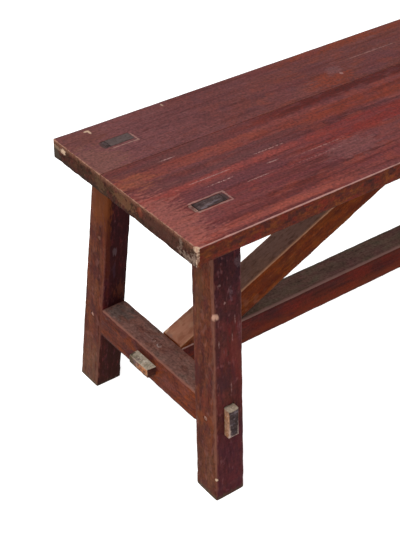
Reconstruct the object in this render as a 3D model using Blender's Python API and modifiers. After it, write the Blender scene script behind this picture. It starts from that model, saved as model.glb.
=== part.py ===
"""Long wooden bench: a seat of two boards on four splayed legs, tied by stretchers and braces.

Metres, +Z up. The origin is on the floor under the middle of the seat. +X runs along the bench
and +Y points to its back edge. The left end is at -X.
"""

import math
from dataclasses import dataclass

import bmesh
import bpy
from mathutils import Matrix, Vector

# Clearance between touching pieces, and how far a cutter runs past what it cuts
GAP = 0.0003
OVERRUN = 0.020

# Seat
BENCH_LENGTH = 1.600
SEAT_HEIGHT = 0.450
SEAT_THICKNESS = 0.0276
BACK_BOARD_WIDTH = 0.1190
FRONT_BOARD_WIDTH = 0.2145
SEAT_ARRIS = 0.0022

# Leg's outer end face, measured in from the bench's end, on the floor and under the seat
LEG_FOOT_INSET = 0.0340
LEG_TOP_INSET = 0.0527

# How far every foot stands outside the seat's edge
FOOT_OVERHANG = 0.0121

# Front legs: outer side's distance inside the seat's edge at the top, and the section's taper
FRONT_TOP_INSET = 0.0373
FRONT_FOOT_WIDTH = 0.0475
FRONT_TOP_WIDTH = 0.0454
FRONT_FOOT_DEPTH = 0.0466
FRONT_TOP_DEPTH = 0.0462

# Back legs, a little lighter than the front ones
BACK_TOP_INSET = 0.0222
BACK_FOOT_WIDTH = 0.0427
BACK_TOP_WIDTH = 0.0396
BACK_FOOT_DEPTH = 0.0450
BACK_TOP_DEPTH = 0.0412

# Leg's tenon through the seat, its step back from the leg's inner side, and its wedge
LEG_TENON_THICKNESS = 0.0180
FRONT_TENON_STEP = 0.0023
WEDGE_HEAD = 0.0062
WEDGE_TIP = 0.0020

# End stretcher, its tenons through the legs, and the pegs across them
END_STRETCHER_TOP = 0.1572
END_STRETCHER_HEIGHT = 0.0472
END_STRETCHER_WIDTH = 0.0418
END_TENON_THICKNESS = 0.0178
END_TENON_SETBACK = 0.0138
FRONT_TENON_PROUD = 0.0123
BACK_TENON_PROUD = 0.0090
PEG_DIAMETER = 0.0080
FRONT_PEG_RISE = 0.0196
BACK_PEG_RISE = 0.0255

# Long stretcher, its tenons through the end stretchers, and the pins across them
LONG_STRETCHER_DROP = 0.0032
LONG_STRETCHER_HEIGHT = 0.0435
LONG_STRETCHER_WIDTH = 0.0467
LONG_TENON_DROP = 0.0110
LONG_TENON_THICKNESS = 0.0140
LONG_TENON_PROUD = 0.0130
PIN_DIAMETER = 0.0060
PIN_SPACING = 0.0142
PIN_OFFSET = 0.0070
PIN_BITE = 0.0030

# Brace from the corner of the stretchers up to the seat, near the bench's middle
BRACE_WIDTH = 0.0437
BRACE_DEPTH = 0.0487
BRACE_NOSE = 0.0055
BRACE_HOUSING = 0.0050
BRACE_HEAD_CLEARANCE = 0.0340

# Rounding of the long edges of legs, stretchers and braces
TIMBER_ARRIS = 0.0015
ARRIS_STEPS = 2
DOWEL_SIDES = 24

# Sizes that follow
SEAT_WIDTH = BACK_BOARD_WIDTH + FRONT_BOARD_WIDTH
SEAT_UNDERSIDE = SEAT_HEIGHT - SEAT_THICKNESS
BOARD_JOINT = SEAT_WIDTH / 2 - BACK_BOARD_WIDTH
END_STRETCHER_BOTTOM = END_STRETCHER_TOP - END_STRETCHER_HEIGHT
LONG_STRETCHER_TOP = END_STRETCHER_TOP - LONG_STRETCHER_DROP
LONG_STRETCHER_BOTTOM = LONG_STRETCHER_TOP - LONG_STRETCHER_HEIGHT
LONG_TENON_TOP = LONG_STRETCHER_TOP - LONG_TENON_DROP
LONG_TENON_BOTTOM = LONG_TENON_TOP - LONG_TENON_THICKNESS
BRACE_FOOT = LONG_STRETCHER_TOP + GAP
BRACE_TOP = SEAT_UNDERSIDE + BRACE_HOUSING - GAP

SIDES = {"left": -1, "right": 1}


@dataclass(frozen=True)
class LegRow:
    """Sizes of the two legs along one edge of the seat."""

    name: str
    sign: int
    top_inset: float
    foot_width: float
    top_width: float
    foot_depth: float
    top_depth: float
    tenon_step: float
    stretcher_proud: float
    peg_rise: float

    @property
    def peg_height(self):
        """Height of the peg's axis above the floor."""
        return END_STRETCHER_BOTTOM + self.peg_rise


FRONT_ROW = LegRow(
    name="front",
    sign=-1,
    top_inset=FRONT_TOP_INSET,
    foot_width=FRONT_FOOT_WIDTH,
    top_width=FRONT_TOP_WIDTH,
    foot_depth=FRONT_FOOT_DEPTH,
    top_depth=FRONT_TOP_DEPTH,
    tenon_step=FRONT_TENON_STEP,
    stretcher_proud=FRONT_TENON_PROUD,
    peg_rise=FRONT_PEG_RISE,
)
BACK_ROW = LegRow(
    name="back",
    sign=1,
    top_inset=BACK_TOP_INSET,
    foot_width=BACK_FOOT_WIDTH,
    top_width=BACK_TOP_WIDTH,
    foot_depth=BACK_FOOT_DEPTH,
    top_depth=BACK_TOP_DEPTH,
    tenon_step=0.0,
    stretcher_proud=BACK_TENON_PROUD,
    peg_rise=BACK_PEG_RISE,
)
ROWS = (FRONT_ROW, BACK_ROW)


def clear_scene():
    """Remove every object that the scene holds."""
    for thing in list(bpy.data.objects):
        bpy.data.objects.remove(thing, do_unlink=True)


def new_collection(name):
    """Return an empty collection linked to the scene."""
    found = bpy.data.collections.new(name)
    bpy.context.scene.collection.children.link(found)
    return found


clear_scene()
PARTS = new_collection("wooden_bench")
CUTTERS = new_collection("bench_cutters")


def blend(foot, top, height):
    """Size of a leg at a height, between its foot and the seat's underside."""
    return foot + (top - foot) * height / SEAT_UNDERSIDE


def along(side, *insets):
    """X places at these distances in from the bench's end, lowest first."""
    return sorted(side * (BENCH_LENGTH / 2 - inset) for inset in insets)


def across(row, *reaches):
    """Y places at these distances from the centre line on a row's side, lowest first."""
    return sorted(row.sign * reach for reach in reaches)


def leg_end_inset(height):
    """Distance of the leg's outer end face from the bench's end."""
    return blend(LEG_FOOT_INSET, LEG_TOP_INSET, height)


def leg_width(row, height):
    """Leg's size along the bench."""
    return blend(row.foot_width, row.top_width, height)


def leg_outer_reach(row, height):
    """Distance of the leg's outer side from the centre line."""
    foot = SEAT_WIDTH / 2 + FOOT_OVERHANG
    top = SEAT_WIDTH / 2 - row.top_inset
    return blend(foot, top, height)


def leg_inner_reach(row, height):
    """Distance of the leg's inner side from the centre line."""
    return leg_outer_reach(row, height) - blend(row.foot_depth, row.top_depth, height)


def end_stretcher_inner(height):
    """Distance of the end stretcher's inner face from the bench's end."""
    return leg_end_inset(height) + END_STRETCHER_WIDTH


LONG_TENON_TIP = leg_end_inset((LONG_TENON_TOP + LONG_TENON_BOTTOM) / 2) - LONG_TENON_PROUD
BRACE_NOSE_INSET = end_stretcher_inner(END_STRETCHER_TOP) + GAP


def leg_section(row, side, height):
    """Corners of the leg at a height: two X places and two Y places."""
    outer = leg_end_inset(height)
    x_places = along(side, outer, outer + leg_width(row, height))
    y_places = across(row, leg_outer_reach(row, height), leg_inner_reach(row, height))
    return x_places, y_places


def leg_tenon_reach(row, height):
    """Distances of the tenon's inner and outer faces from the centre line."""
    inner = leg_inner_reach(row, height) + row.tenon_step
    return inner, inner + LEG_TENON_THICKNESS


def wedge_thickness(height):
    """Thickness of a wedge at a height, from its tip up to its head."""
    return WEDGE_TIP + (WEDGE_HEAD - WEDGE_TIP) * (height - SEAT_UNDERSIDE) / SEAT_THICKNESS


def new_object(name, mesh, place, collection):
    """Link an object whose mesh is written around its place."""
    thing = bpy.data.objects.new(name, mesh)
    thing.location = place
    collection.objects.link(thing)
    return thing


def block(name, low, high, section, collection=None):
    """Cube stretched between two heights, where section gives its X and Y places."""
    shape = bmesh.new()
    bmesh.ops.create_cube(shape, size=1.0)
    for corner in shape.verts:
        height = low if corner.co.z < 0 else high
        x_places, y_places = section(height)
        x = x_places[0] if corner.co.x < 0 else x_places[1]
        y = y_places[0] if corner.co.y < 0 else y_places[1]
        corner.co = Vector((x, y, height))
    mesh = bpy.data.meshes.new(name)
    shape.to_mesh(mesh)
    shape.free()
    middle = sum((corner.co for corner in mesh.vertices), Vector()) / len(mesh.vertices)
    mesh.transform(Matrix.Translation(-middle))
    return new_object(name, mesh, middle, collection or PARTS)


def straight(x_places, y_places):
    """Section that is the same at every height."""
    return lambda height: (x_places, y_places)


def dowel(name, diameter, length, place, turn=0.0, collection=None):
    """Round rod about its own Z axis, turned about Y."""
    shape = bmesh.new()
    bmesh.ops.create_cone(
        shape,
        cap_ends=True,
        segments=DOWEL_SIDES,
        radius1=diameter / 2,
        radius2=diameter / 2,
        depth=length,
    )
    mesh = bpy.data.meshes.new(name)
    shape.to_mesh(mesh)
    shape.free()
    mesh.shade_smooth()
    mesh.set_sharp_from_angle(angle=math.radians(40))
    thing = new_object(name, mesh, Vector(place), collection or PARTS)
    thing.rotation_euler.y = turn
    return thing


def soften(thing, width, chosen):
    """Round the edges for which chosen(first corner, second corner) holds."""
    shape = bmesh.new()
    shape.from_mesh(thing.data)
    weights = shape.edges.layers.float.new("bevel_weight_edge")
    for edge in shape.edges:
        first, second = (thing.location + corner.co for corner in edge.verts)
        edge[weights] = 1.0 if chosen(first, second) else 0.0
    shape.to_mesh(thing.data)
    shape.free()
    rounding = thing.modifiers.new("arris", "BEVEL")
    rounding.limit_method = "WEIGHT"
    rounding.width = width
    rounding.segments = ARRIS_STEPS


def upright(first, second):
    """Whether an edge joins two heights of a block."""
    return abs(first.z - second.z) > abs(first.x - second.x) + abs(first.y - second.y)


def cut(thing, cutter):
    """Cut one shape out of another."""
    cutter.hide_render = True
    cutter.display_type = "WIRE"
    sawing = thing.modifiers.new(cutter.name, "BOOLEAN")
    sawing.operation = "DIFFERENCE"
    sawing.solver = "EXACT"
    sawing.object = cutter


def finish(thing, colour, roughness):
    """Give a piece of timber its own material."""
    material = bpy.data.materials.new(thing.name)
    material.use_nodes = True
    shader = material.node_tree.nodes["Principled BSDF"]
    shader.inputs["Base Color"].default_value = (*colour, 1.0)
    shader.inputs["Roughness"].default_value = roughness
    shader.inputs["Metallic"].default_value = 0.0
    thing.data.materials.append(material)


def seat_finish(thing):
    """Worn red polish on the seat's boards."""
    finish(thing, (0.200, 0.066, 0.052), 0.42)


def leg_finish(thing):
    """Red-brown polish on the legs."""
    finish(thing, (0.185, 0.070, 0.040), 0.50)


def stretcher_finish(thing):
    """Dusty brown of the stretchers."""
    finish(thing, (0.130, 0.058, 0.040), 0.60)


def brace_finish(thing):
    """Orange-brown of the braces."""
    finish(thing, (0.240, 0.090, 0.035), 0.55)


def end_grain_finish(thing):
    """Dark end grain of wedges, pegs and pins."""
    finish(thing, (0.075, 0.045, 0.030), 0.65)


def leg_mortise(row, side, place):
    """Cutter for the hole that a leg's tenon and its wedge fill."""

    def section(height):
        outer = leg_end_inset(height)
        wedge_side = outer - GAP - wedge_thickness(height) - GAP
        inner, cheek = leg_tenon_reach(row, height)
        x_places = along(side, wedge_side, outer + leg_width(row, height) + GAP)
        return x_places, across(row, inner - GAP, cheek + GAP)

    name = f"cut_seat_mortise_{row.name}_{place}"
    return block(name, SEAT_UNDERSIDE - OVERRUN, SEAT_HEIGHT + OVERRUN, section, CUTTERS)


def brace_angle():
    """Angle of a brace with the floor, from its nose to its head under the seat."""
    run = BENCH_LENGTH / 2 - BRACE_HEAD_CLEARANCE - BRACE_NOSE_INSET
    rise = SEAT_UNDERSIDE - BRACE_FOOT - BRACE_NOSE
    return math.atan2(rise, run) + math.asin(BRACE_DEPTH / math.hypot(run, rise))


def brace_section(side, height, clearance=0.0):
    """Corners of a brace at a height, with a clearance on every side."""
    angle = brace_angle()
    upper = BRACE_NOSE_INSET + (height - BRACE_FOOT - BRACE_NOSE) / math.tan(angle)
    lower = upper + BRACE_DEPTH / math.sin(angle)
    x_places = along(side, upper - clearance, lower + clearance)
    reach = BRACE_WIDTH / 2 + clearance
    return x_places, (-reach, reach)


def brace_housing(side, place):
    """Cutter for the shallow bed of a brace in the seat's underside."""
    return block(
        f"cut_brace_housing_{place}",
        SEAT_UNDERSIDE - OVERRUN,
        SEAT_UNDERSIDE + BRACE_HOUSING,
        lambda height: brace_section(side, height, GAP),
        CUTTERS,
    )


def seat_board(name, y_places, rows):
    """One board of the seat, with the mortises of the rows of legs that stand in it."""
    ends = along(1, 0.0, BENCH_LENGTH)
    board = block(name, SEAT_UNDERSIDE, SEAT_HEIGHT, straight(ends, y_places))

    def outside(first, second):
        return max(abs(first.y), abs(second.y)) > SEAT_WIDTH / 2 - GAP

    soften(board, SEAT_ARRIS, outside)
    seat_finish(board)
    for row in rows:
        for place, side in SIDES.items():
            cut(board, leg_mortise(row, side, place))
    return board


def seat():
    """Two boards glued edge to edge, the front one bedding the braces."""
    back = (BOARD_JOINT + GAP / 2, SEAT_WIDTH / 2)
    front = (-SEAT_WIDTH / 2, BOARD_JOINT - GAP / 2)
    seat_board("seat_back_board", back, [BACK_ROW])
    board = seat_board("seat_front_board", front, [FRONT_ROW])
    for place, side in SIDES.items():
        cut(board, brace_housing(side, place))


def end_tenon_insets(height):
    """Distances of an end tenon's two faces from the bench's end."""
    outer = leg_end_inset(height) + END_TENON_SETBACK
    return outer, outer + END_TENON_THICKNESS


def stretcher_mortise(row, side, place):
    """Cutter through a leg for the end stretcher's tenon."""

    def section(height):
        outer, inner = end_tenon_insets(height)
        x_places = along(side, outer - GAP, inner + GAP)
        low = leg_inner_reach(row, height) - OVERRUN
        high = leg_outer_reach(row, height) + OVERRUN
        return x_places, across(row, low, high)

    name = f"cut_leg_mortise_{row.name}_{place}"
    return block(name, END_STRETCHER_BOTTOM - GAP, END_STRETCHER_TOP + GAP, section, CUTTERS)


def peg_hole(row, side, place, owner):
    """Cutter for a leg's peg, through the leg and the tenon in it."""
    x_places = along(side, LEG_FOOT_INSET - OVERRUN, LEG_TOP_INSET + row.foot_width + OVERRUN)
    middle = (x_places[0] + x_places[1]) / 2
    return dowel(
        f"cut_{owner}_peg_{row.name}_{place}",
        PEG_DIAMETER + 2 * GAP,
        x_places[1] - x_places[0],
        (middle, peg_reach(row), row.peg_height),
        math.pi / 2,
        CUTTERS,
    )


def peg_reach(row):
    """Y place of a peg, on the middle of its leg."""
    outer = leg_outer_reach(row, row.peg_height)
    inner = leg_inner_reach(row, row.peg_height)
    return row.sign * (outer + inner) / 2


def leg_shoulder(row, side, place, face):
    """Cutter for the wood beside the tenon at the head of a leg."""

    def section(height):
        end = leg_end_inset(height)
        x_places = along(side, end - OVERRUN, end + leg_width(row, height) + OVERRUN)
        inner, outer = leg_tenon_reach(row, height)
        if face == "outer":
            return x_places, across(row, outer, leg_outer_reach(row, height) + OVERRUN)
        return x_places, across(row, leg_inner_reach(row, height) - OVERRUN, inner)

    name = f"cut_{face}_shoulder_{row.name}_{place}"
    return block(name, SEAT_UNDERSIDE - GAP, SEAT_HEIGHT + OVERRUN, section, CUTTERS)


def leg(row, side, place):
    """Tapered leg with a shouldered tenon at its head and a mortise for the stretcher."""
    timber = block(
        f"leg_{row.name}_{place}",
        0.0,
        SEAT_HEIGHT,
        lambda height: leg_section(row, side, height),
    )
    soften(timber, TIMBER_ARRIS, upright)
    leg_finish(timber)

    cut(timber, leg_shoulder(row, side, place, "outer"))
    if row.tenon_step > 0:
        cut(timber, leg_shoulder(row, side, place, "inner"))
    cut(timber, stretcher_mortise(row, side, place))
    cut(timber, peg_hole(row, side, place, "leg"))
    return timber


def tenon_wedge(row, side, place):
    """Wedge between a leg's tenon and the outer end of its mortise."""

    def section(height):
        outer = leg_end_inset(height) - GAP
        x_places = along(side, outer - wedge_thickness(height), outer)
        return x_places, across(row, *leg_tenon_reach(row, height))

    wedge = block(f"tenon_wedge_{row.name}_{place}", SEAT_UNDERSIDE, SEAT_HEIGHT, section)
    end_grain_finish(wedge)
    return wedge


def leg_peg(row, side, place):
    """Round peg along the bench through a leg and the stretcher's tenon."""
    outer = leg_end_inset(row.peg_height)
    length = leg_width(row, row.peg_height)
    x_places = along(side, outer, outer + length)
    middle = (x_places[0] + x_places[1]) / 2
    peg = dowel(
        f"leg_peg_{row.name}_{place}",
        PEG_DIAMETER,
        length,
        (middle, peg_reach(row), row.peg_height),
        math.pi / 2,
    )
    end_grain_finish(peg)
    return peg


def tenon_end_reach(row, height):
    """Distance of an end stretcher's tenon end from the centre line."""
    return leg_outer_reach(row, height) + row.stretcher_proud


def cheek_waste(row, side, place, face):
    """Cutter for the wood beside a tenon, up to a shoulder that follows the leg."""

    def section(height):
        tenon_outer, tenon_inner = end_tenon_insets(height)
        if face == "outer":
            x_places = along(side, leg_end_inset(height) - OVERRUN, tenon_outer)
        else:
            x_places = along(side, tenon_inner, end_stretcher_inner(height) + OVERRUN)
        shoulder = leg_inner_reach(row, height) - GAP
        return x_places, across(row, shoulder, tenon_end_reach(row, height) + OVERRUN)

    name = f"cut_{face}_cheek_{row.name}_{place}"
    return block(name, END_STRETCHER_BOTTOM - OVERRUN, END_STRETCHER_TOP + OVERRUN, section, CUTTERS)


def long_tenon_mortise(side, place):
    """Cutter through an end stretcher for the long stretcher's tenon."""
    inner = end_stretcher_inner(LONG_TENON_TOP)
    x_places = along(side, LONG_TENON_TIP - OVERRUN, inner + OVERRUN)
    reach = LONG_STRETCHER_WIDTH / 2 + GAP
    return block(
        f"cut_long_mortise_{place}",
        LONG_TENON_BOTTOM - GAP,
        LONG_TENON_TOP + GAP,
        straight(x_places, (-reach, reach)),
        CUTTERS,
    )


def pin_place(row, side):
    """X and Y places of a pin, on the middle of the end stretcher's width."""
    outer = leg_end_inset(END_STRETCHER_TOP)
    x = side * (BENCH_LENGTH / 2 - outer - END_STRETCHER_WIDTH / 2)
    return x, PIN_OFFSET + row.sign * PIN_SPACING / 2


def pin_hole(row, side, place, owner):
    """Cutter for a pin, from above the end stretcher down past the pin's tip."""
    low = LONG_TENON_BOTTOM - PIN_BITE - GAP
    high = END_STRETCHER_TOP + OVERRUN
    x, y = pin_place(row, side)
    name = f"cut_{owner}_pin_{row.name}_{place}"
    return dowel(name, PIN_DIAMETER + 2 * GAP, high - low, (x, y, (high + low) / 2), 0.0, CUTTERS)


def end_stretcher(side, place):
    """Rail between two legs, with a tenon through each of them."""

    def section(height):
        x_places = along(side, leg_end_inset(height), end_stretcher_inner(height))
        ends = (-tenon_end_reach(FRONT_ROW, height), tenon_end_reach(BACK_ROW, height))
        return x_places, ends

    name = f"end_stretcher_{place}"
    timber = block(name, END_STRETCHER_BOTTOM, END_STRETCHER_TOP, section)
    soften(timber, TIMBER_ARRIS, lambda first, second: abs(first.y - second.y) > SEAT_WIDTH / 2)
    stretcher_finish(timber)
    for row in ROWS:
        cut(timber, cheek_waste(row, side, place, "outer"))
        cut(timber, cheek_waste(row, side, place, "inner"))
        cut(timber, peg_hole(row, side, place, "stretcher"))
        cut(timber, pin_hole(row, side, place, "stretcher"))
    cut(timber, long_tenon_mortise(side, place))
    return timber


def tenon_pin(row, side, place):
    """Round pin down through an end stretcher and the long stretcher's tenon."""
    low = LONG_TENON_BOTTOM - PIN_BITE
    x, y = pin_place(row, side)
    name = f"tenon_pin_{row.name}_{place}"
    middle = (END_STRETCHER_TOP + low) / 2
    pin = dowel(name, PIN_DIAMETER, END_STRETCHER_TOP - low, (x, y, middle))
    end_grain_finish(pin)
    return pin


def shoulder_waste(side, place, edge):
    """Cutter for the wood above or below the long stretcher's tenon."""
    reach = LONG_STRETCHER_WIDTH / 2 + OVERRUN

    def section(height):
        x_places = along(side, LONG_TENON_TIP - OVERRUN, end_stretcher_inner(height) + GAP)
        return x_places, (-reach, reach)

    if edge == "upper":
        low, high = LONG_TENON_TOP, LONG_STRETCHER_TOP + OVERRUN
    else:
        low, high = LONG_STRETCHER_BOTTOM - OVERRUN, LONG_TENON_BOTTOM
    return block(f"cut_{edge}_shoulder_{place}", low, high, section, CUTTERS)


def long_stretcher():
    """Rail along the bench, with a flat tenon through each end stretcher."""
    reach = LONG_STRETCHER_WIDTH / 2
    section = straight(along(1, LONG_TENON_TIP, BENCH_LENGTH - LONG_TENON_TIP), (-reach, reach))
    timber = block("long_stretcher", LONG_STRETCHER_BOTTOM, LONG_STRETCHER_TOP, section)
    soften(timber, TIMBER_ARRIS, lambda first, second: abs(first.x - second.x) > BENCH_LENGTH / 2)
    stretcher_finish(timber)
    for place, side in SIDES.items():
        cut(timber, shoulder_waste(side, place, "upper"))
        cut(timber, shoulder_waste(side, place, "lower"))
        for row in ROWS:
            cut(timber, pin_hole(row, side, place, "rail"))
    return timber


def brace(side, place):
    """Sloping bar, sawn level on the long stretcher and plumb against the end stretcher."""
    timber = block(
        f"brace_{place}",
        BRACE_FOOT,
        BRACE_TOP,
        lambda height: brace_section(side, height),
    )

    def sloping(first, second):
        return abs(first.z - second.z) > SEAT_THICKNESS

    soften(timber, TIMBER_ARRIS, sloping)
    brace_finish(timber)
    reach = BRACE_WIDTH / 2 + OVERRUN
    nose_places = along(side, BRACE_NOSE_INSET - END_STRETCHER_WIDTH, BRACE_NOSE_INSET)
    nose = block(
        f"cut_brace_nose_{place}",
        BRACE_FOOT - OVERRUN,
        END_STRETCHER_TOP + OVERRUN,
        straight(nose_places, (-reach, reach)),
        CUTTERS,
    )
    cut(timber, nose)
    return timber


def build():
    """Make every piece of the bench."""
    seat()
    long_stretcher()
    for place, side in SIDES.items():
        end_stretcher(side, place)
        brace(side, place)
        for row in ROWS:
            leg(row, side, place)
            tenon_wedge(row, side, place)
            leg_peg(row, side, place)
            tenon_pin(row, side, place)


build()
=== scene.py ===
"""Looks of a worn joined bench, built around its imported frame."""

import logging
import math
from contextlib import contextmanager
from dataclasses import dataclass, field, replace
from enum import Enum, IntEnum
from typing import Any, Callable, Iterable, Iterator, Sequence

import bmesh
import bpy
import numpy as np
from mathutils import Euler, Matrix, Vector


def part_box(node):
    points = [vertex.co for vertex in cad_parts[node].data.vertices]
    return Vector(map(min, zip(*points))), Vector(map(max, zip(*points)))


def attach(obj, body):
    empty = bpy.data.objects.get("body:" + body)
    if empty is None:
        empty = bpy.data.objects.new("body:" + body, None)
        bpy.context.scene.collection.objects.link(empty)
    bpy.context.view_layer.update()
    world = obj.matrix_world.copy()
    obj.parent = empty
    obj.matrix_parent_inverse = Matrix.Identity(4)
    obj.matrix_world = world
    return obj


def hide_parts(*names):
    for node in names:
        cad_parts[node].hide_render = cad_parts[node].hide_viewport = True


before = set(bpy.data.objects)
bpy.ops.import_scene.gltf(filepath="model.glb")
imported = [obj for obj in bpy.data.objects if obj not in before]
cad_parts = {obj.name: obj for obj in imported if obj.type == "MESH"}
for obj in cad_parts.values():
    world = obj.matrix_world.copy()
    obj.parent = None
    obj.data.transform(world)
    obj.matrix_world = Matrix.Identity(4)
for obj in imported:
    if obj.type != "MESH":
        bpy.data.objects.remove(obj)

log = logging.getLogger("bench")

# Play between mating faces, and how far a drill runs past what it cuts
GAP = 0.0003
OVERRUN = 0.02

# Heights of the legs' shoulders, just under the seat, and of the seat's top
SHOULDER = 0.4221
SEAT_TOP = 0.4500

# How close two places count as one
NEAR = 1e-5

# Index of each end of a span, and the way inwards from it
INWARDS = ((0, 1.0), (1, -1.0))

Piece = bpy.types.Object
Test = Callable[[Any], bool]
Shade = tuple[int, int, int]
Colour = tuple[float, float, float, float]
Triple = tuple[float, float, float]
Span = tuple[float, float]
Line = tuple[Vector, Vector]


def tint(shade: Shade) -> Colour:
    """Colour for a shader socket.

    Args:
        shade: Red, green and blue on the screen, from 0 to 255.

    Returns:
        The linear colour with full opacity.
    """
    parts = [value / 255.0 for value in shade]
    linear = [v / 12.92 if v <= 0.04045 else ((v + 0.055) / 1.055) ** 2.4 for v in parts]
    return (linear[0], linear[1], linear[2], 1.0)


class Side(Enum):
    """The two ends of the bench."""

    LEFT = -1
    RIGHT = 1


class Row(Enum):
    """The two rows of legs."""

    FRONT = -1
    BACK = 1


class Kind(Enum):
    """What an edit-mode selection is made of."""

    VERTEX = "VERT"
    EDGE = "EDGE"
    FACE = "FACE"


class Axis(IntEnum):
    """Along the bench, across it and up."""

    X = 0
    Y = 1
    Z = 2

    def at(self, place: float) -> Vector:
        """Point on the axis."""
        return Vector([place * (index == self) for index in range(3)])


class Fibre(Enum):
    """Turn that brings a timber's fibres to the pattern's own X axis."""

    ALONG = (0.0, 0.0, 0.0)
    ACROSS = (0.0, 0.0, math.pi / 2)
    UPRIGHT = (0.0, -math.pi / 2, 0.0)


class Face(Enum):
    """Which faces of a piece a layer is on: an axis, and where its fade starts and is full."""

    ANY = (0, -2.0, -1.5)
    UP = (2, 0.45, 0.85)
    DOWN = (2, -0.30, -0.80)
    HIGH = (2, -0.20, 0.30)
    SIDE = (1, 0.50, 0.85)
    FLANK = (0, 0.50, 0.85)


def named(kind: str, *where: Row | Side) -> str:
    """Name of the frame's node of a kind at a row or an end."""
    return "_".join([kind, *(place.name.lower() for place in where)])


def run_of(edge: Any) -> Vector:
    """An edge's way from its first point to its second."""
    return edge.verts[1].co - edge.verts[0].co


def looking(axis: Axis, way: float) -> Test:
    """Test of a face that looks one way along an axis."""
    return lambda face: face.normal[axis] * way > 0.8


def astride(looks: Test, axis: Axis, place: float) -> Test:
    """Test of a face that passes another test and reaches past a place on both sides.

    Args:
        looks: The other test.
        axis: Axis that the place is on.
        place: The place.

    Returns:
        The test.
    """
    return lambda face: looks(face) and (
        min(v.co[axis] for v in face.verts) < place < max(v.co[axis] for v in face.verts)
    )


def square_to(start: Vector, end: Vector, axis: Axis) -> Vector:
    """Normal of a sloping timber's face.

    Args:
        start: Lower end of one of its long edges.
        end: Upper end of that edge.
        axis: Axis that the face looks along, more or less.

    Returns:
        The normal that points to the axis's far end.
    """
    run = end - start
    return (axis.at(run.z) - Axis.Z.at(run[axis])).normalized()


def ring(corners: Sequence[Vector]) -> list[Line]:
    """The four edges round a rectangle whose corners come in two pairs."""
    a, b, c, d = corners
    return [(a, b), (b, d), (d, c), (c, a)]


@dataclass(frozen=True)
class Section:
    """Level cut through a timber.

    Args:
        x: Lowest and highest place along the bench.
        y: Lowest and highest place across the bench.
        z: Height of the cut.
    """

    x: Span
    y: Span
    z: float

    @classmethod
    def of(cls, node: str, height: float) -> "Section":
        """Section of a frame node at a height where it has corners.

        Args:
            node: Name of the node.
            height: Height of the corners.

        Returns:
            The span of those corners.
        """
        near = 1.5e-4
        points = [v.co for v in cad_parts[node].data.vertices if abs(v.co.z - height) < near]
        spans = [(min(p[axis] for p in points), max(p[axis] for p in points)) for axis in (0, 1)]
        return cls(spans[0], spans[1], height)

    def towards(self, other: "Section", height: float) -> "Section":
        """Section on the straight line through this one and another.

        Args:
            other: The second section.
            height: Height of the wanted section.

        Returns:
            The section at that height.
        """
        share = (height - self.z) / (other.z - self.z)
        x, y = (
            (first[0] + (second[0] - first[0]) * share, first[1] + (second[1] - first[1]) * share)
            for first, second in ((self.x, other.x), (self.y, other.y))
        )
        return Section(x, y, height)

    def grown(self, margin: float) -> "Section":
        """Section with a margin on every side."""
        x, y = self.x, self.y
        return Section((x[0] - margin, x[1] + margin), (y[0] - margin, y[1] + margin), self.z)

    def corners(self) -> list[Vector]:
        """The four corners, in the order of their X and then their Y."""
        return [Vector((x, y, self.z)) for x in self.x for y in self.y]

    def sides(self, along: Axis) -> list[Line]:
        """The two edges that run along the bench, or across it."""
        a, b, c, d = self.corners()
        return [(a, c), (b, d)] if along is Axis.X else [(a, b), (c, d)]


def long_edges(low: Section, high: Section) -> list[Line]:
    """The four edges of a timber from its lower section to its upper one."""
    return list(zip(low.corners(), high.corners()))


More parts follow.
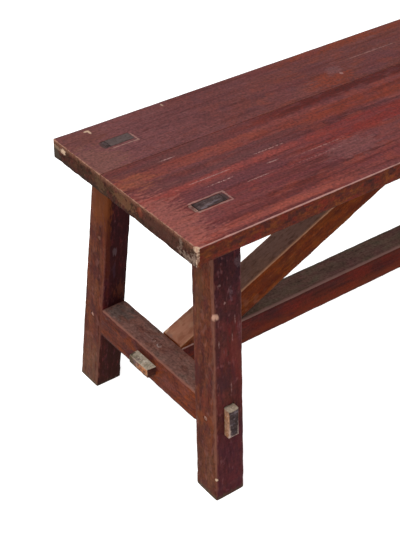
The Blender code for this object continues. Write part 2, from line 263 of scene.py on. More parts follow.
class Workbench:
    """Modelling steps, each done with Blender's own operators."""

    @staticmethod
    def alone(piece: Piece) -> None:
        """Select one piece and nothing else.

        Args:
            piece: The piece.
        """
        bpy.ops.object.select_all(action="DESELECT")
        piece.select_set(True)
        bpy.context.view_layer.objects.active = piece

    @staticmethod
    @contextmanager
    def editing(piece: Piece) -> Iterator[None]:
        """Edit mode on one piece, with nothing selected in it.

        Args:
            piece: The piece.

        Returns:
            A context that ends in object mode.
        """
        Workbench.alone(piece)
        bpy.ops.object.mode_set(mode="EDIT")
        bpy.ops.mesh.select_all(action="DESELECT")
        yield
        bpy.ops.object.mode_set(mode="OBJECT")

    @staticmethod
    def pick(piece: Piece, kind: Kind, wanted: Test) -> int:
        """Select the parts of the edited piece that pass a test.

        Args:
            piece: The piece in edit mode.
            kind: What is selected.
            wanted: Test of one vertex, edge or face.

        Returns:
            How many parts were selected.
        """
        bpy.ops.mesh.select_mode(type=kind.value)
        bpy.ops.mesh.select_all(action="DESELECT")
        shape = bmesh.from_edit_mesh(piece.data)
        parts = {Kind.VERTEX: shape.verts, Kind.EDGE: shape.edges, Kind.FACE: shape.faces}[kind]
        found = [part for part in parts if wanted(part)]
        for part in found:
            part.select_set(True)
        bmesh.update_edit_mesh(piece.data)
        return len(found)

    @staticmethod
    def pull(piece: Piece, places: Sequence[Vector], targets: Sequence[Vector]) -> None:
        """Move the edited piece's vertices from their places to their targets.

        Args:
            piece: The piece in edit mode.
            places: Where the vertices are.
            targets: Where each of them goes.
        """
        for place, target in zip(places, targets):
            if (place - target).length > 0.0:
                Workbench.pick(piece, Kind.VERTEX, lambda v: (v.co - place).length < NEAR)
                bpy.ops.transform.translate(value=tuple(target - place))

    @staticmethod
    def added(name: str) -> Piece:
        """The new primitive, under its name and with its place in its mesh.

        Args:
            name: Name of the new piece.

        Returns:
            The new piece.
        """
        piece = bpy.context.object
        piece.name = name
        piece.data.name = name
        bpy.ops.object.transform_apply(location=True, rotation=True, scale=True)
        return piece

    @staticmethod
    def block(name: str, low: Section, high: Section) -> Piece:
        """Cube at its size and place, with each corner moved to its section.

        Args:
            name: Name of the new piece.
            low: Section at the lower end.
            high: Section at the upper end.

        Returns:
            The new piece.
        """
        x = (min(low.x[0], high.x[0]), max(low.x[1], high.x[1]))
        y = (min(low.y[0], high.y[0]), max(low.y[1], high.y[1]))
        bpy.ops.object.select_all(action="DESELECT")
        bpy.ops.mesh.primitive_cube_add(
            size=1.0,
            location=((x[0] + x[1]) / 2, (y[0] + y[1]) / 2, (low.z + high.z) / 2),
            scale=(x[1] - x[0], y[1] - y[0], high.z - low.z),
        )
        piece = Workbench.added(name)
        with Workbench.editing(piece):
            for exact in (low, high):
                Workbench.pull(piece, Section(x, y, exact.z).corners(), exact.corners())
        return piece

    @staticmethod
    def plug(name: str, start: Vector, end: Vector, radius: float) -> Piece:
        """Round bar from one point to another.

        Args:
            name: Name of the new piece.
            start: Middle of its first end.
            end: Middle of its second end.
            radius: Radius of the bar.

        Returns:
            The new piece.
        """
        run = end - start
        turn = run.to_track_quat("Z", "Y").to_euler()
        bpy.ops.object.select_all(action="DESELECT")
        bpy.ops.mesh.primitive_cylinder_add(
            vertices=28, radius=radius, depth=run.length, location=(start + end) / 2, rotation=turn
        )
        return Workbench.added(name)

    @staticmethod
    def extrude_to(piece: Piece, root: Sequence[Vector], tip: Sequence[Vector]) -> None:
        """Extrude the selected face and move its corners to their own places.

        Args:
            piece: The piece in edit mode.
            root: The four corners of the selected face.
            tip: Where each of them goes.
        """
        step = tip[0] - root[0]
        bpy.ops.mesh.extrude_region_move(TRANSFORM_OT_translate={"value": tuple(step)})
        Workbench.pull(piece, [start + step for start in root], tip)

    @staticmethod
    def split(place: Triple | Vector, normal: Triple | Vector) -> None:
        """Cut the selected faces along a plane, keeping both sides."""
        bpy.ops.mesh.bisect(plane_co=tuple(place), plane_no=tuple(normal))

    @staticmethod
    def score(places: Iterable[Triple | Vector], normal: Triple | Vector) -> None:
        """Cut all the edited piece's faces along planes through some places.

        Args:
            places: A point on each plane.
            normal: The way that all the planes face.
        """
        for place in places:
            bpy.ops.mesh.select_all(action="SELECT")
            Workbench.split(place, normal)

    @staticmethod
    def slice(axis: Axis, *places: float) -> None:
        """Cut all the edited piece's faces square to an axis, at places on it."""
        Workbench.score([axis.at(place) for place in places], axis.at(1.0))

    @staticmethod
    def follow(low: Section, high: Section, axis: Axis, insets: Sequence[float]) -> None:
        """Cut lines along the edited timber, a little inside two of its faces.

        Args:
            low: Section at the timber's lower end.
            high: Section at its upper end.
            axis: Axis that the two faces look along.
            insets: How far inside them the lines are, measured along that axis.
        """
        for inset in insets:
            for index, way in INWARDS:
                start, end = (Vector((s.x[index], s.y[index], s.z)) for s in (low, high))
                normal = square_to(start, end, axis)
                Workbench.score([start + axis.at(way * inset)], normal)

    @staticmethod
    def rings(piece: Piece, axis: Axis, pitch: float) -> None:
        """Divide every long edge along an axis, so that wear has points to move.

        Args:
            piece: The piece in edit mode.
            axis: Direction of the edges that are divided.
            pitch: Longest edge that may stay.
        """
        most = 50

        def length(edge: Any) -> float:
            """Length of an edge along the axis, or nothing for any other edge."""
            return edge.calc_length() if abs(run_of(edge).normalized()[axis]) > 0.97 else 0.0

        for _ in range(3):
            longest = max((length(e) for e in bmesh.from_edit_mesh(piece.data).edges), default=0.0)
            if longest <= pitch * 1.5:
                return
            Workbench.pick(piece, Kind.EDGE, lambda e: length(e) > 0.75 * longest)
            cuts = max(1, min(most, round(longest / pitch) - 1))
            bpy.ops.mesh.subdivide(number_cuts=cuts)

    @staticmethod
    def ease(piece: Piece, width: float, wanted: Test) -> None:
        """Round the edges that pass a test.

        Args:
            piece: The piece in edit mode.
            width: Reach of the rounding on each face.
            wanted: Test of one edge.
        """
        if Workbench.pick(piece, Kind.EDGE, wanted):
            bpy.ops.mesh.bevel(offset=width, segments=3, profile=0.5, affect="EDGES")

    @staticmethod
    def swell(piece: Piece, amount: float, wanted: Test) -> None:
        """Make a timber fuller where its worn arrises would fall short.

        Args:
            piece: The piece in edit mode.
            amount: How far its surface moves out.
            wanted: Test of one vertex that moves.
        """
        Workbench.pick(piece, Kind.VERTEX, wanted)
        bpy.ops.transform.shrink_fatten(value=amount)

    @staticmethod
    def apply_all(piece: Piece) -> None:
        """Apply each modifier of a piece.

        Args:
            piece: The piece.
        """
        Workbench.alone(piece)
        for modifier in list(piece.modifiers):
            bpy.ops.object.modifier_apply(modifier=modifier.name)

    @staticmethod
    def carve(piece: Piece, cutter: Piece) -> None:
        """Cut a tool's shape out of a piece and put the tool away.

        Args:
            piece: The piece that is cut.
            cutter: The shape that is taken out of it.
        """
        modifier = piece.modifiers.new("carve", "BOOLEAN")
        modifier.operation = "DIFFERENCE"
        modifier.solver = "EXACT"
        modifier.object = cutter
        Workbench.apply_all(piece)
        bpy.data.meshes.remove(cutter.data)

    @staticmethod
    def core(node: str, before: float, after: float) -> tuple[Vector, Vector, float]:
        """Middle line of a peg or pin.

        Args:
            node: The frame's node.
            before: How far the line starts before it.
            after: How far the line runs on past it.

        Returns:
            Both ends of the line, and the radius.
        """
        low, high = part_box(node)
        lies = high.x - low.x > high.z - low.z
        axis, other = (Axis.X, Axis.Z) if lies else (Axis.Z, Axis.X)
        start = (low + high) / 2
        end = start.copy()
        start[axis], end[axis] = low[axis] - before, high[axis] + after
        return start, end, (high[other] - low[other]) / 2

    @staticmethod
    def drill(piece: Piece, node: str, before: float, after: float) -> None:
        """Cut the hole of a peg or pin.

        Args:
            piece: The timber.
            node: The peg's or pin's node.
            before: How far the drill starts before it.
            after: How far the drill runs on past it.
        """
        start, end, radius = Workbench.core(node, before, after)
        Workbench.carve(piece, Workbench.plug("drill", start, end, radius + GAP))

    @staticmethod
    def rows(piece: Piece, what: str = "co") -> np.ndarray:
        """The places or normals of a piece's vertices, as rows of three numbers.

        Args:
            piece: The piece.
            what: Name of what is read from each vertex.

        Returns:
            One row for each vertex.
        """
        flat = np.zeros(len(piece.data.vertices) * 3)
        piece.data.vertices.foreach_get(what, flat)
        return flat.reshape(-1, 3)

    @staticmethod
    def distances(piece: Piece, lines: Sequence[Line]) -> np.ndarray:
        """Distance of each vertex of a piece from the nearest of some lines.

        Args:
            piece: The piece.
            lines: Start and end of each line.

        Returns:
            One distance for each vertex.
        """
        points = Workbench.rows(piece)
        nearest = np.full(len(points), 1.0)
        for start, end in lines:
            origin, run = np.array(start), np.array(end - start)
            share = np.clip((points - origin) @ run / (run @ run), 0.0, 1.0)
            gap = np.linalg.norm(points - origin - share[:, None] * run, axis=1)
            nearest = np.minimum(nearest, gap)
        return nearest

    @staticmethod
    def wear(
        piece: Piece, weights: np.ndarray, depth: float, grain: float, contrast: float = 1.0
    ) -> None:
        """Sink a piece's surface by an uneven amount, never outwards.

        Args:
            piece: The piece.
            weights: Share of the depth for each vertex, from 0 to 1.
            depth: Deepest wear.
            grain: Size of the unevenness.
            contrast: How far the wear comes in separate spots.
        """
        group = piece.vertex_groups.new(name="wear")
        steps = 24
        levels = np.round(np.clip(weights, 0.0, 1.0) * steps).astype(int)
        for level in range(1, steps + 1):
            chosen = np.nonzero(levels == level)[0]
            if len(chosen):
                group.add([int(i) for i in chosen], level / steps, "REPLACE")
        texture = bpy.data.textures.new("wear", "CLOUDS")
        texture.noise_scale = grain
        texture.noise_depth = 3
        texture.contrast = contrast
        texture.intensity = 1.0 if contrast <= 1.0 else 0.85
        modifier = piece.modifiers.new("wear", "DISPLACE")
        modifier.texture = texture
        modifier.texture_coords = "LOCAL"
        modifier.vertex_group = group.name
        modifier.mid_level = 0.0
        modifier.strength = -depth
        Workbench.apply_all(piece)
        piece.vertex_groups.clear()
        bpy.data.textures.remove(texture)

    @staticmethod
    def note(piece: Piece, name: str, values: np.ndarray) -> None:
        """Store a number or a vector for each vertex, under a name that a finish can read.

        Args:
            piece: The piece.
            name: The name.
            values: One number or one row of three for each vertex.
        """
        kind, key = ("FLOAT", "value") if values.ndim == 1 else ("FLOAT_VECTOR", "vector")
        attribute = piece.data.attributes.new(name, kind, "POINT")
        attribute.data.foreach_set(key, values.astype(np.float32).ravel())

    @staticmethod
    def smooth(piece: Piece) -> None:
        """Smooth shading, apart from what turns sharply."""
        Workbench.alone(piece)
        bpy.ops.object.shade_smooth_by_angle(angle=math.radians(34.0))


class Wire:
    """Shader socket that takes part in Python expressions."""

    def __init__(self, recipe: "Recipe", socket: bpy.types.NodeSocket) -> None:
        """Keep a socket and the recipe that its nodes go into."""
        self.recipe = recipe
        self.socket = socket

    def _maths(self, operation: str, *values: "Wire | float") -> "Wire":
        """Math node on some values.

        Args:
            operation: What the node does.
            values: Its one to three values.

        Returns:
            The result.
        """
        names = ("Value", "Value_001", "Value_002")
        sockets = dict(zip(names, values))
        return self.recipe.node("ShaderNodeMath", {"operation": operation}, sockets, "Value")

    def __add__(self, other: "Wire | float") -> "Wire":
        """This value plus another."""
        return self._maths("ADD", self, other)

    def __radd__(self, other: float) -> "Wire":
        """A number plus this value."""
        return self._maths("ADD", other, self)

    def __sub__(self, other: "Wire | float") -> "Wire":
        """This value less another."""
        return self._maths("SUBTRACT", self, other)

    def __rsub__(self, other: float) -> "Wire":
        """A number less this value."""
        return self._maths("SUBTRACT", other, self)

    def __mul__(self, other: "Wire | float") -> "Wire":
        """This value times another."""
        return self._maths("MULTIPLY", self, other)

    def __rmul__(self, other: float) -> "Wire":
        """A number times this value."""
        return self._maths("MULTIPLY", other, self)

    def __abs__(self) -> "Wire":
        """This value without its sign."""
        return self._maths("ABSOLUTE", self)

    def most(self, other: "Wire | float") -> "Wire":
        """The larger of two values."""
        return self._maths("MAXIMUM", self, other)

    def least(self, other: "Wire | float") -> "Wire":
        """The smaller of two values."""
        return self._maths("MINIMUM", self, other)

    def root(self) -> "Wire":
        """The square root of this value."""
        return self._maths("SQRT", self)

    def fade(self, low: float, high: float) -> "Wire":
        """Smooth step over this value.

        Args:
            low: Value where the step is 0.
            high: Value where the step is 1; it may be below the first.

        Returns:
            The step, from 0 to 1.
        """
        turned = low > high
        sockets = {
            "Value": self,
            "From Min": min(low, high),
            "From Max": max(low, high),
            "To Min": 1.0 if turned else 0.0,
            "To Max": 0.0 if turned else 1.0,
        }
        settings = {"interpolation_type": "SMOOTHSTEP", "clamp": True}
        return self.recipe.node("ShaderNodeMapRange", settings, sockets, "Result")


class Recipe:
    """Material under construction, with its shader and its coordinates."""

    def __init__(self, name: str, specular: float, seed: float = 0.0) -> None:
        """Start a material.

        Args:
            name: Name of the material.
            specular: Strength of its gloss.
            seed: Shift of all its noise.
        """
        self.seed = seed
        self.material = bpy.data.materials.new(name)
        self.material.use_nodes = True
        self.tree = self.material.node_tree
        self.tree.nodes.clear()
        self.shader = self.tree.nodes.new("ShaderNodeBsdfPrincipled")
        self.shader.inputs["Specular IOR Level"].default_value = specular
        output = self.tree.nodes.new("ShaderNodeOutputMaterial")
        self.tree.links.new(self.shader.outputs["BSDF"], output.inputs["Surface"])
        self.place = self.node("ShaderNodeTexCoord", {}, {}, "Object")
        self.axes = self.parts(self.place)
        settings = {"attribute_name": "facing"}
        self.facing = self.parts(self.node("ShaderNodeAttribute", settings, {}, "Vector"))

    def node(
        self, kind: str, settings: dict[str, Any], sockets: dict[str, Any], output: str
    ) -> Wire:
        """Add a node.

        Args:
            kind: Type of the node.
            settings: Its own properties, which are set first.
            sockets: Values or wires of its inputs, by identifier or name.
            output: Identifier or name of the output.

        Returns:
            The output.
        """
        node = self.tree.nodes.new(kind)
        for key, value in settings.items():
            setattr(node, key, value)
        for key, value in sockets.items():
            socket = self._socket(node.inputs, key)
            if isinstance(value, Wire):
                self.tree.links.new(value.socket, socket)
            else:
                socket.default_value = value
        return Wire(self, self._socket(node.outputs, output))

    @staticmethod
    def _socket(sockets: Any, key: str) -> bpy.types.NodeSocket:
        """Socket with an identifier, or else with a name."""
        exact = [socket for socket in sockets if socket.identifier == key]
        return exact[0] if exact else next(socket for socket in sockets if socket.name == key)

    def feed(self, name: str, wire: Wire) -> None:
        """Connect a wire to one of the shader's sockets."""
        self.tree.links.new(wire.socket, self.shader.inputs[name])

    def parts(self, vector: Wire) -> tuple[Wire, ...]:
        """The three parts of a vector.

        Args:
            vector: The vector.

        Returns:
            Its X, its Y and its Z.
        """
        node = self.tree.nodes.new("ShaderNodeSeparateXYZ")
        self.tree.links.new(vector.socket, node.inputs[0])
        return tuple(Wire(self, node.outputs[name]) for name in "XYZ")

    def vector(self, x: Wire | float, y: Wire | float, z: Wire | float) -> Wire:
        """Vector of three values."""
        return self.node("ShaderNodeCombineXYZ", {}, {"X": x, "Y": y, "Z": z}, "Vector")

    def looks(self, face: Face) -> Wire:
        """How far the surface is one of the faces that look one way.

        Args:
            face: The faces.

        Returns:
            From 0 to 1.
        """
        axis, low, high = face.value
        part = self.facing[axis]
        if face in (Face.SIDE, Face.FLANK):
            part = abs(part)
        return part.fade(low, high)

    def noted(self, name: str) -> Wire:
        """Number that the piece keeps for each of its vertices."""
        return self.node("ShaderNodeAttribute", {"attribute_name": name}, {}, "Fac")

    def turned(self, fibre: Fibre | Triple) -> Wire:
        """Place on the piece, with X along its fibres.

        Args:
            fibre: Turn of the fibres.

        Returns:
            The turned place.
        """
        angles = fibre.value if isinstance(fibre, Fibre) else fibre
        sockets = {"Vector": self.place, "Rotation": angles}
        return self.node("ShaderNodeMapping", {"vector_type": "TEXTURE"}, sockets, "Vector")

    def stretched(self, vector: Wire, scale: Triple, shift: Triple = (0.0, 0.0, 0.0)) -> Wire:
        """Vector with each part scaled and shifted.

        Args:
            vector: The vector.
            scale: Factor of each part.
            shift: What is added to each part.

        Returns:
            The new vector.
        """
        sockets = {"Vector": vector, "Vector_001": scale, "Vector_002": shift}
        settings = {"operation": "MULTIPLY_ADD"}
        return self.node("ShaderNodeVectorMath", settings, sockets, "Vector")

    def cloud(
        self,
        vector: Wire,
        scale: Span,
        seed: float = 0.0,
        detail: float = 2.0,
        roughness: float = 0.55,
    ) -> Wire:
        """Soft noise, stretched along the fibres.

        Args:
            vector: Place on the piece.
            scale: Cycles to the metre along and across the fibres.
            seed: Shift that gives another pattern.
            detail: Layers of finer noise.
            roughness: Strength of the finer layers.

        Returns:
            The noise, mostly from 0.3 to 0.7.
        """
        number = seed + self.seed
        shift = (number * 7.31, number * 3.17, number * 5.71)
        sockets = {
            "Vector": self.stretched(vector, (scale[0], scale[1], scale[1]), shift),
            "Scale": 1.0,
            "Detail": detail,
            "Roughness": roughness,
        }
        return self.node("ShaderNodeTexNoise", {}, sockets, "Fac")

    def over(self, under: Wire | Colour, paint: Wire | Colour, amount: Wire | float) -> Wire:
        """Colour with another laid over it.

        Args:
            under: The first colour.
            paint: The colour on top.
            amount: How far the top one covers.

        Returns:
            The mixed colour.
        """
        sockets = {"Factor_Float": amount, "A_Color": under, "B_Color": paint}
        return self.node("ShaderNodeMix", {"data_type": "RGBA"}, sockets, "Result_Color")

    def lit(self, colour: Wire, factor: Wire) -> Wire:
        """Colour made lighter or darker by a factor."""
        sockets = {"Vector": colour, "Scale": factor}
        return self.node("ShaderNodeVectorMath", {"operation": "SCALE"}, sockets, "Vector")

    def relief(self, height: Wire, depth: float) -> None:
        """Bump on the shader's normal.

        Args:
            height: Height of the surface, from 0 to 1.
            depth: Metres between the lowest and the highest.
        """
        sockets = {"Height": height, "Strength": 1.0, "Distance": depth}
        self.feed("Normal", self.node("ShaderNodeBump", {}, sockets, "Normal"))


Fields = dict[str, Wire]


@dataclass(frozen=True)
class Figure:
    """Scales of a surface's figure, in cycles to the metre along and across its fibres.

    Args:
        wander: Sideways drift of the grain in metres.
        streak: The streaks.
        hair: The finest lines.
        grit: The speckle of worn varnish.
        ragged: What makes the rims of marks uneven.
    """

    wander: float = 0.006
    streak: Span = (4.0, 95.0)
    hair: Span = (14.0, 420.0)
    grit: Span = (250.0, 300.0)
    ragged: Span = (70.0, 240.0)

    def drawn(self, recipe: Recipe, place: Wire) -> Fields:
        """Noise fields of the figure.

        Args:
            recipe: The material.
            place: Place on the piece, with X along the fibres.

        Returns:
            The fields by name.
        """
        drift = (recipe.cloud(place, (1.6, 7.0), 1.0, 1.0) - 0.5) * self.wander
        along, across, deep = recipe.parts(place)
        swayed = recipe.vector(along, across + drift, deep + drift)
        fields = {"place": swayed, "across": across + drift}
        spans = {"streak": self.streak, "hair": self.hair, "grit": self.grit, "ragged": self.ragged}
        for step, (name, span) in enumerate(spans.items()):
            fields[name] = recipe.cloud(swayed, span, 2.0 + step)
        return fields


@dataclass(frozen=True)
class Coat:
    """Mottled colour of the faces that look one way.

    Args:
        body: Its main colour.
        tones: Colours of the patches in it.
        shade: Colour of its darker streaks.
        face: The faces that have it.
        patch: Cycles to the metre of the patches, along and across the fibres.
        cover: How far a patch hides what is under it.
        grain: Strength of the darker streaks.
    """

    body: Shade
    tones: tuple[Shade, ...]
    shade: Shade
    face: Face = Face.ANY
    patch: Span = (20.0, 48.0)
    cover: float = 0.75
    grain: float = 0.4

    def laid(self, recipe: Recipe, under: Wire | Colour, fields: Fields) -> Wire:
        """Colour with the coat on it.

        Args:
            recipe: The material.
            under: Colour under the coat.
            fields: The figure's fields.

        Returns:
            The colour with the coat.
        """
        colour: Wire | Colour = tint(self.body)
        for step, tone in enumerate(self.tones):
            cloud = recipe.cloud(fields["place"], self.patch, 31.0 + step * 4.7, 3.0, 0.6)
            colour = recipe.over(colour, tint(tone), cloud.fade(0.48, 0.63) * self.cover)
        dark = fields["streak"].fade(0.48, 0.32) * self.grain
        colour = recipe.over(colour, tint(self.shade), dark)
        if self.face is Face.ANY:
            return colour
        return recipe.over(under, colour, recipe.looks(self.face))


@dataclass(frozen=True)
class Layer:
    """Colour laid over part of a finish.

    Args:
        colour: What shows.
        amount: How far it covers.
        within: Fades that bound it: an axis, and the places where the fade starts and is full.
        face: The faces that have it.
    """

    colour: Shade
    amount: float
    within: tuple[tuple[int, float, float], ...] = field(default=(), kw_only=True)
    face: Face = field(default=Face.ANY, kw_only=True)

    def mask(self, recipe: Recipe, fields: Fields) -> Wire:
        """Where the layer lies, which each kind of layer says for itself."""
        raise NotImplementedError

    def laid(self, recipe: Recipe, under: Wire, fields: Fields) -> Wire:
        """Colour with the layer on it.

        Args:
            recipe: The material.
            under: Colour under the layer.
            fields: The figure's fields.

        Returns:
            The colour with the layer.
        """
        mask = self.mask(recipe, fields) * self.amount
        for axis, start, full in self.within:
            mask = mask * recipe.axes[axis].fade(start, full)
        if self.face is not Face.ANY:
            mask = mask * recipe.looks(self.face)
        return recipe.over(under, tint(self.colour), mask)


@dataclass(frozen=True)
class Mark(Layer):
    """Spot with a ragged rim: mostly a wear mark or stain, in one place a painted sheen.

    Args:
        place: Its middle.
        reach: Its half sizes along X, Y and Z.
        ragged: How uneven its rim is.
        broken: How far fine gaps break it up.
    """

    place: Triple
    reach: Triple
    ragged: float = 1.0
    broken: float = 0.0

    def mask(self, recipe: Recipe, fields: Fields) -> Wire:
        """Ellipsoid with a ragged rim.

        Args:
            recipe: The material.
            fields: The figure's fields.

        Returns:
            How far the layer covers.
        """
        scale = tuple(1.0 / reach for reach in self.reach)
        shift = tuple(-place / reach for place, reach in zip(self.place, self.reach))
        offset = {"Vector": recipe.stretched(recipe.place, scale, shift)}
        length = recipe.node("ShaderNodeVectorMath", {"operation": "LENGTH"}, offset, "Value")
        spot = (length + (fields["ragged"] - 0.5) * (2.0 * self.ragged)).fade(1.1, 0.6)
        if not self.broken:
            return spot
        return spot * (1.0 - fields["grit"].fade(0.54, 0.46) * self.broken)


@dataclass(frozen=True)
class Band(Layer):
    """Stripe of another tone along the seat.

    Args:
        near: Its edge towards the front.
        far: Its edge towards the back.
        left: Where along the bench it starts.
        right: Where along the bench it ends.
        soft: Blur of its edges.
        run: Length over which it starts and ends.
    """

    near: float
    far: float
    left: float = -0.9
    right: float = 0.9
    soft: float = 0.004
    run: float = 0.06

    def mask(self, recipe: Recipe, fields: Fields) -> Wire:
        """Stripe that wanders with the grain.

        Args:
            recipe: The material.
            fields: The figure's fields.

        Returns:
            How far the layer covers.
        """
        across = fields["across"] + (fields["ragged"] - 0.5) * 0.012
        mask = across.fade(self.near - self.soft, self.near + self.soft)
        mask = mask * across.fade(self.far + self.soft, self.far - self.soft)
        mask = mask * recipe.axes[0].fade(self.left - self.run, self.left + self.run)
        mask = mask * recipe.axes[0].fade(self.right + self.run, self.right - self.run)
        return mask * (fields["streak"].fade(0.34, 0.52) * 0.5 + 0.5)


@dataclass(frozen=True)
class Wash(Layer):
    """Thin, uneven layer of colour over all that its bounds hold: stains and dust, and in places
    painted light or painted shade.
    """

    def mask(self, recipe: Recipe, fields: Fields) -> Wire:
        """Everywhere, a little thinner in places."""
        return fields["ragged"].fade(0.25, 0.55)


@dataclass(frozen=True)
class ArrisWearAndPaintedLight(Layer):
    """Line along a piece's arrises: worn edges, and in places a painted highlight or painted shade.

    Args:
        reach: Width of the line on each face.
        uneven: How far its rim wanders, in metres.
        line: Name of the piece's distances from those arrises.
    """

    reach: float
    uneven: float = 0.003
    line: str = "long_arris"

    def mask(self, recipe: Recipe, fields: Fields) -> Wire:
        """What lies near the arrises."""
        gap = recipe.noted(self.line) + (fields["ragged"] - 0.5) * self.uneven
        return gap.fade(self.reach, self.reach * 0.35)


@dataclass(frozen=True)
class Outline(Layer):
    """Worn line round a rectangle on the seat's top.

    Args:
        low: The rectangle's lowest X and Y.
        high: Its highest X and Y.
        width: Half the width of the line.
    """

    low: Span
    high: Span
    width: float = 0.0017

    def mask(self, recipe: Recipe, fields: Fields) -> Wire:
        """What lies near the rectangle's sides.

        Args:
            recipe: The material.
            fields: The figure's fields.

        Returns:
            How far the layer covers.
        """
        gaps = []
        for axis in (0, 1):
            middle = (self.low[axis] + self.high[axis]) / 2
            half = (self.high[axis] - self.low[axis]) / 2
            gaps.append(abs(recipe.axes[axis] - middle) - half)
        corner = [gap.most(0.0) for gap in gaps]
        outside = (corner[0] * corner[0] + corner[1] * corner[1]).root()
        distance = abs(outside + gaps[0].most(gaps[1]).least(0.0))
        distance = distance + (fields["ragged"] - 0.5) * 0.005
        return distance.fade(self.width, self.width * 0.4)


@dataclass(frozen=True)
class Specks(Layer):
    """Small spots strewn over a finish.

    Args:
        pitch: Cycles to the metre along and across the fibres.
        rarity: Level of the noise above which a speck shows.
        seed: Shift that gives other specks.
    """

    pitch: Span
    rarity: float = 0.66
    seed: float = 60.0

    def mask(self, recipe: Recipe, fields: Fields) -> Wire:
        """The highest spots of a fine noise."""
        cloud = recipe.cloud(fields["place"], self.pitch, self.seed, 1.0)
        return cloud.fade(self.rarity, self.rarity + 0.14)


@dataclass(frozen=True)
class Polish:
    """Old finish of a timber: coats, then the grain's light and dark, then marks.

    Args:
        name: Name of the material.
        seed: Shift that gives each piece its own pattern.
        coats: What lies under the grain, in order.
        marks: What lies over it, in order.
        fibre: Turn of the fibres.
        figure: Scales of the figure.
        gloss: Strength of the specular reflection.
        rough: Roughness of the surface.
        hairs: Contrast of the fine lines.
        speckle: Contrast of the speckle.
        depth: Metres between the lowest and the highest of the relief.
    """

    name: str
    seed: float
    coats: tuple[Coat | Layer, ...]
    marks: tuple[Layer, ...] = ()
    fibre: Fibre | Triple = Fibre.ALONG
    figure: Figure = Figure()
    gloss: float = 0.035
    rough: float = 0.72
    hairs: float = 0.6
    speckle: float = 1.5
    depth: float = 0.0005

    def made(self) -> bpy.types.Material:
        """The material.

        Returns:
            The new material.
        """
        recipe = Recipe(self.name, self.gloss, self.seed)
        fields = self.figure.drawn(recipe, recipe.turned(self.fibre))
        colour: Wire | Colour = tint((0, 0, 0))
        for coat in self.coats:
            colour = coat.laid(recipe, colour, fields)
        light = fields["hair"] * self.hairs + fields["grit"] * self.speckle
        colour = recipe.lit(colour, light + (1.0 - (self.hairs + self.speckle) / 2))
        for mark in self.marks:
            colour = mark.laid(recipe, colour, fields)
        recipe.feed("Base Color", colour)
        recipe.feed("Roughness", self.rough - fields["streak"] * 0.3 + fields["grit"] * 0.15)
        height = fields["hair"] * 0.3 + fields["streak"] * 0.4 + fields["grit"] * 0.3
        recipe.relief(height, self.depth)
        return recipe.material

    def on(self, node: str, seed: float, *marks: Layer) -> bpy.types.Material:
        """The material for one piece.

        Args:
            node: The frame's node.
            seed: Shift that gives the piece its own pattern.
            marks: Further marks of the piece's own.

        Returns:
            The material.
        """
        own = replace(self, name=f"{node}_{self.name}", seed=seed, marks=self.marks + marks)
        return own.made()


SCUFF = (132, 112, 98)
CREAM = (180, 152, 128)
SCRATCH = (150, 116, 110)

END_FIGURE = Figure(0.0, (90.0, 130.0), (260.0, 420.0), (420.0, 520.0), (150.0, 210.0))

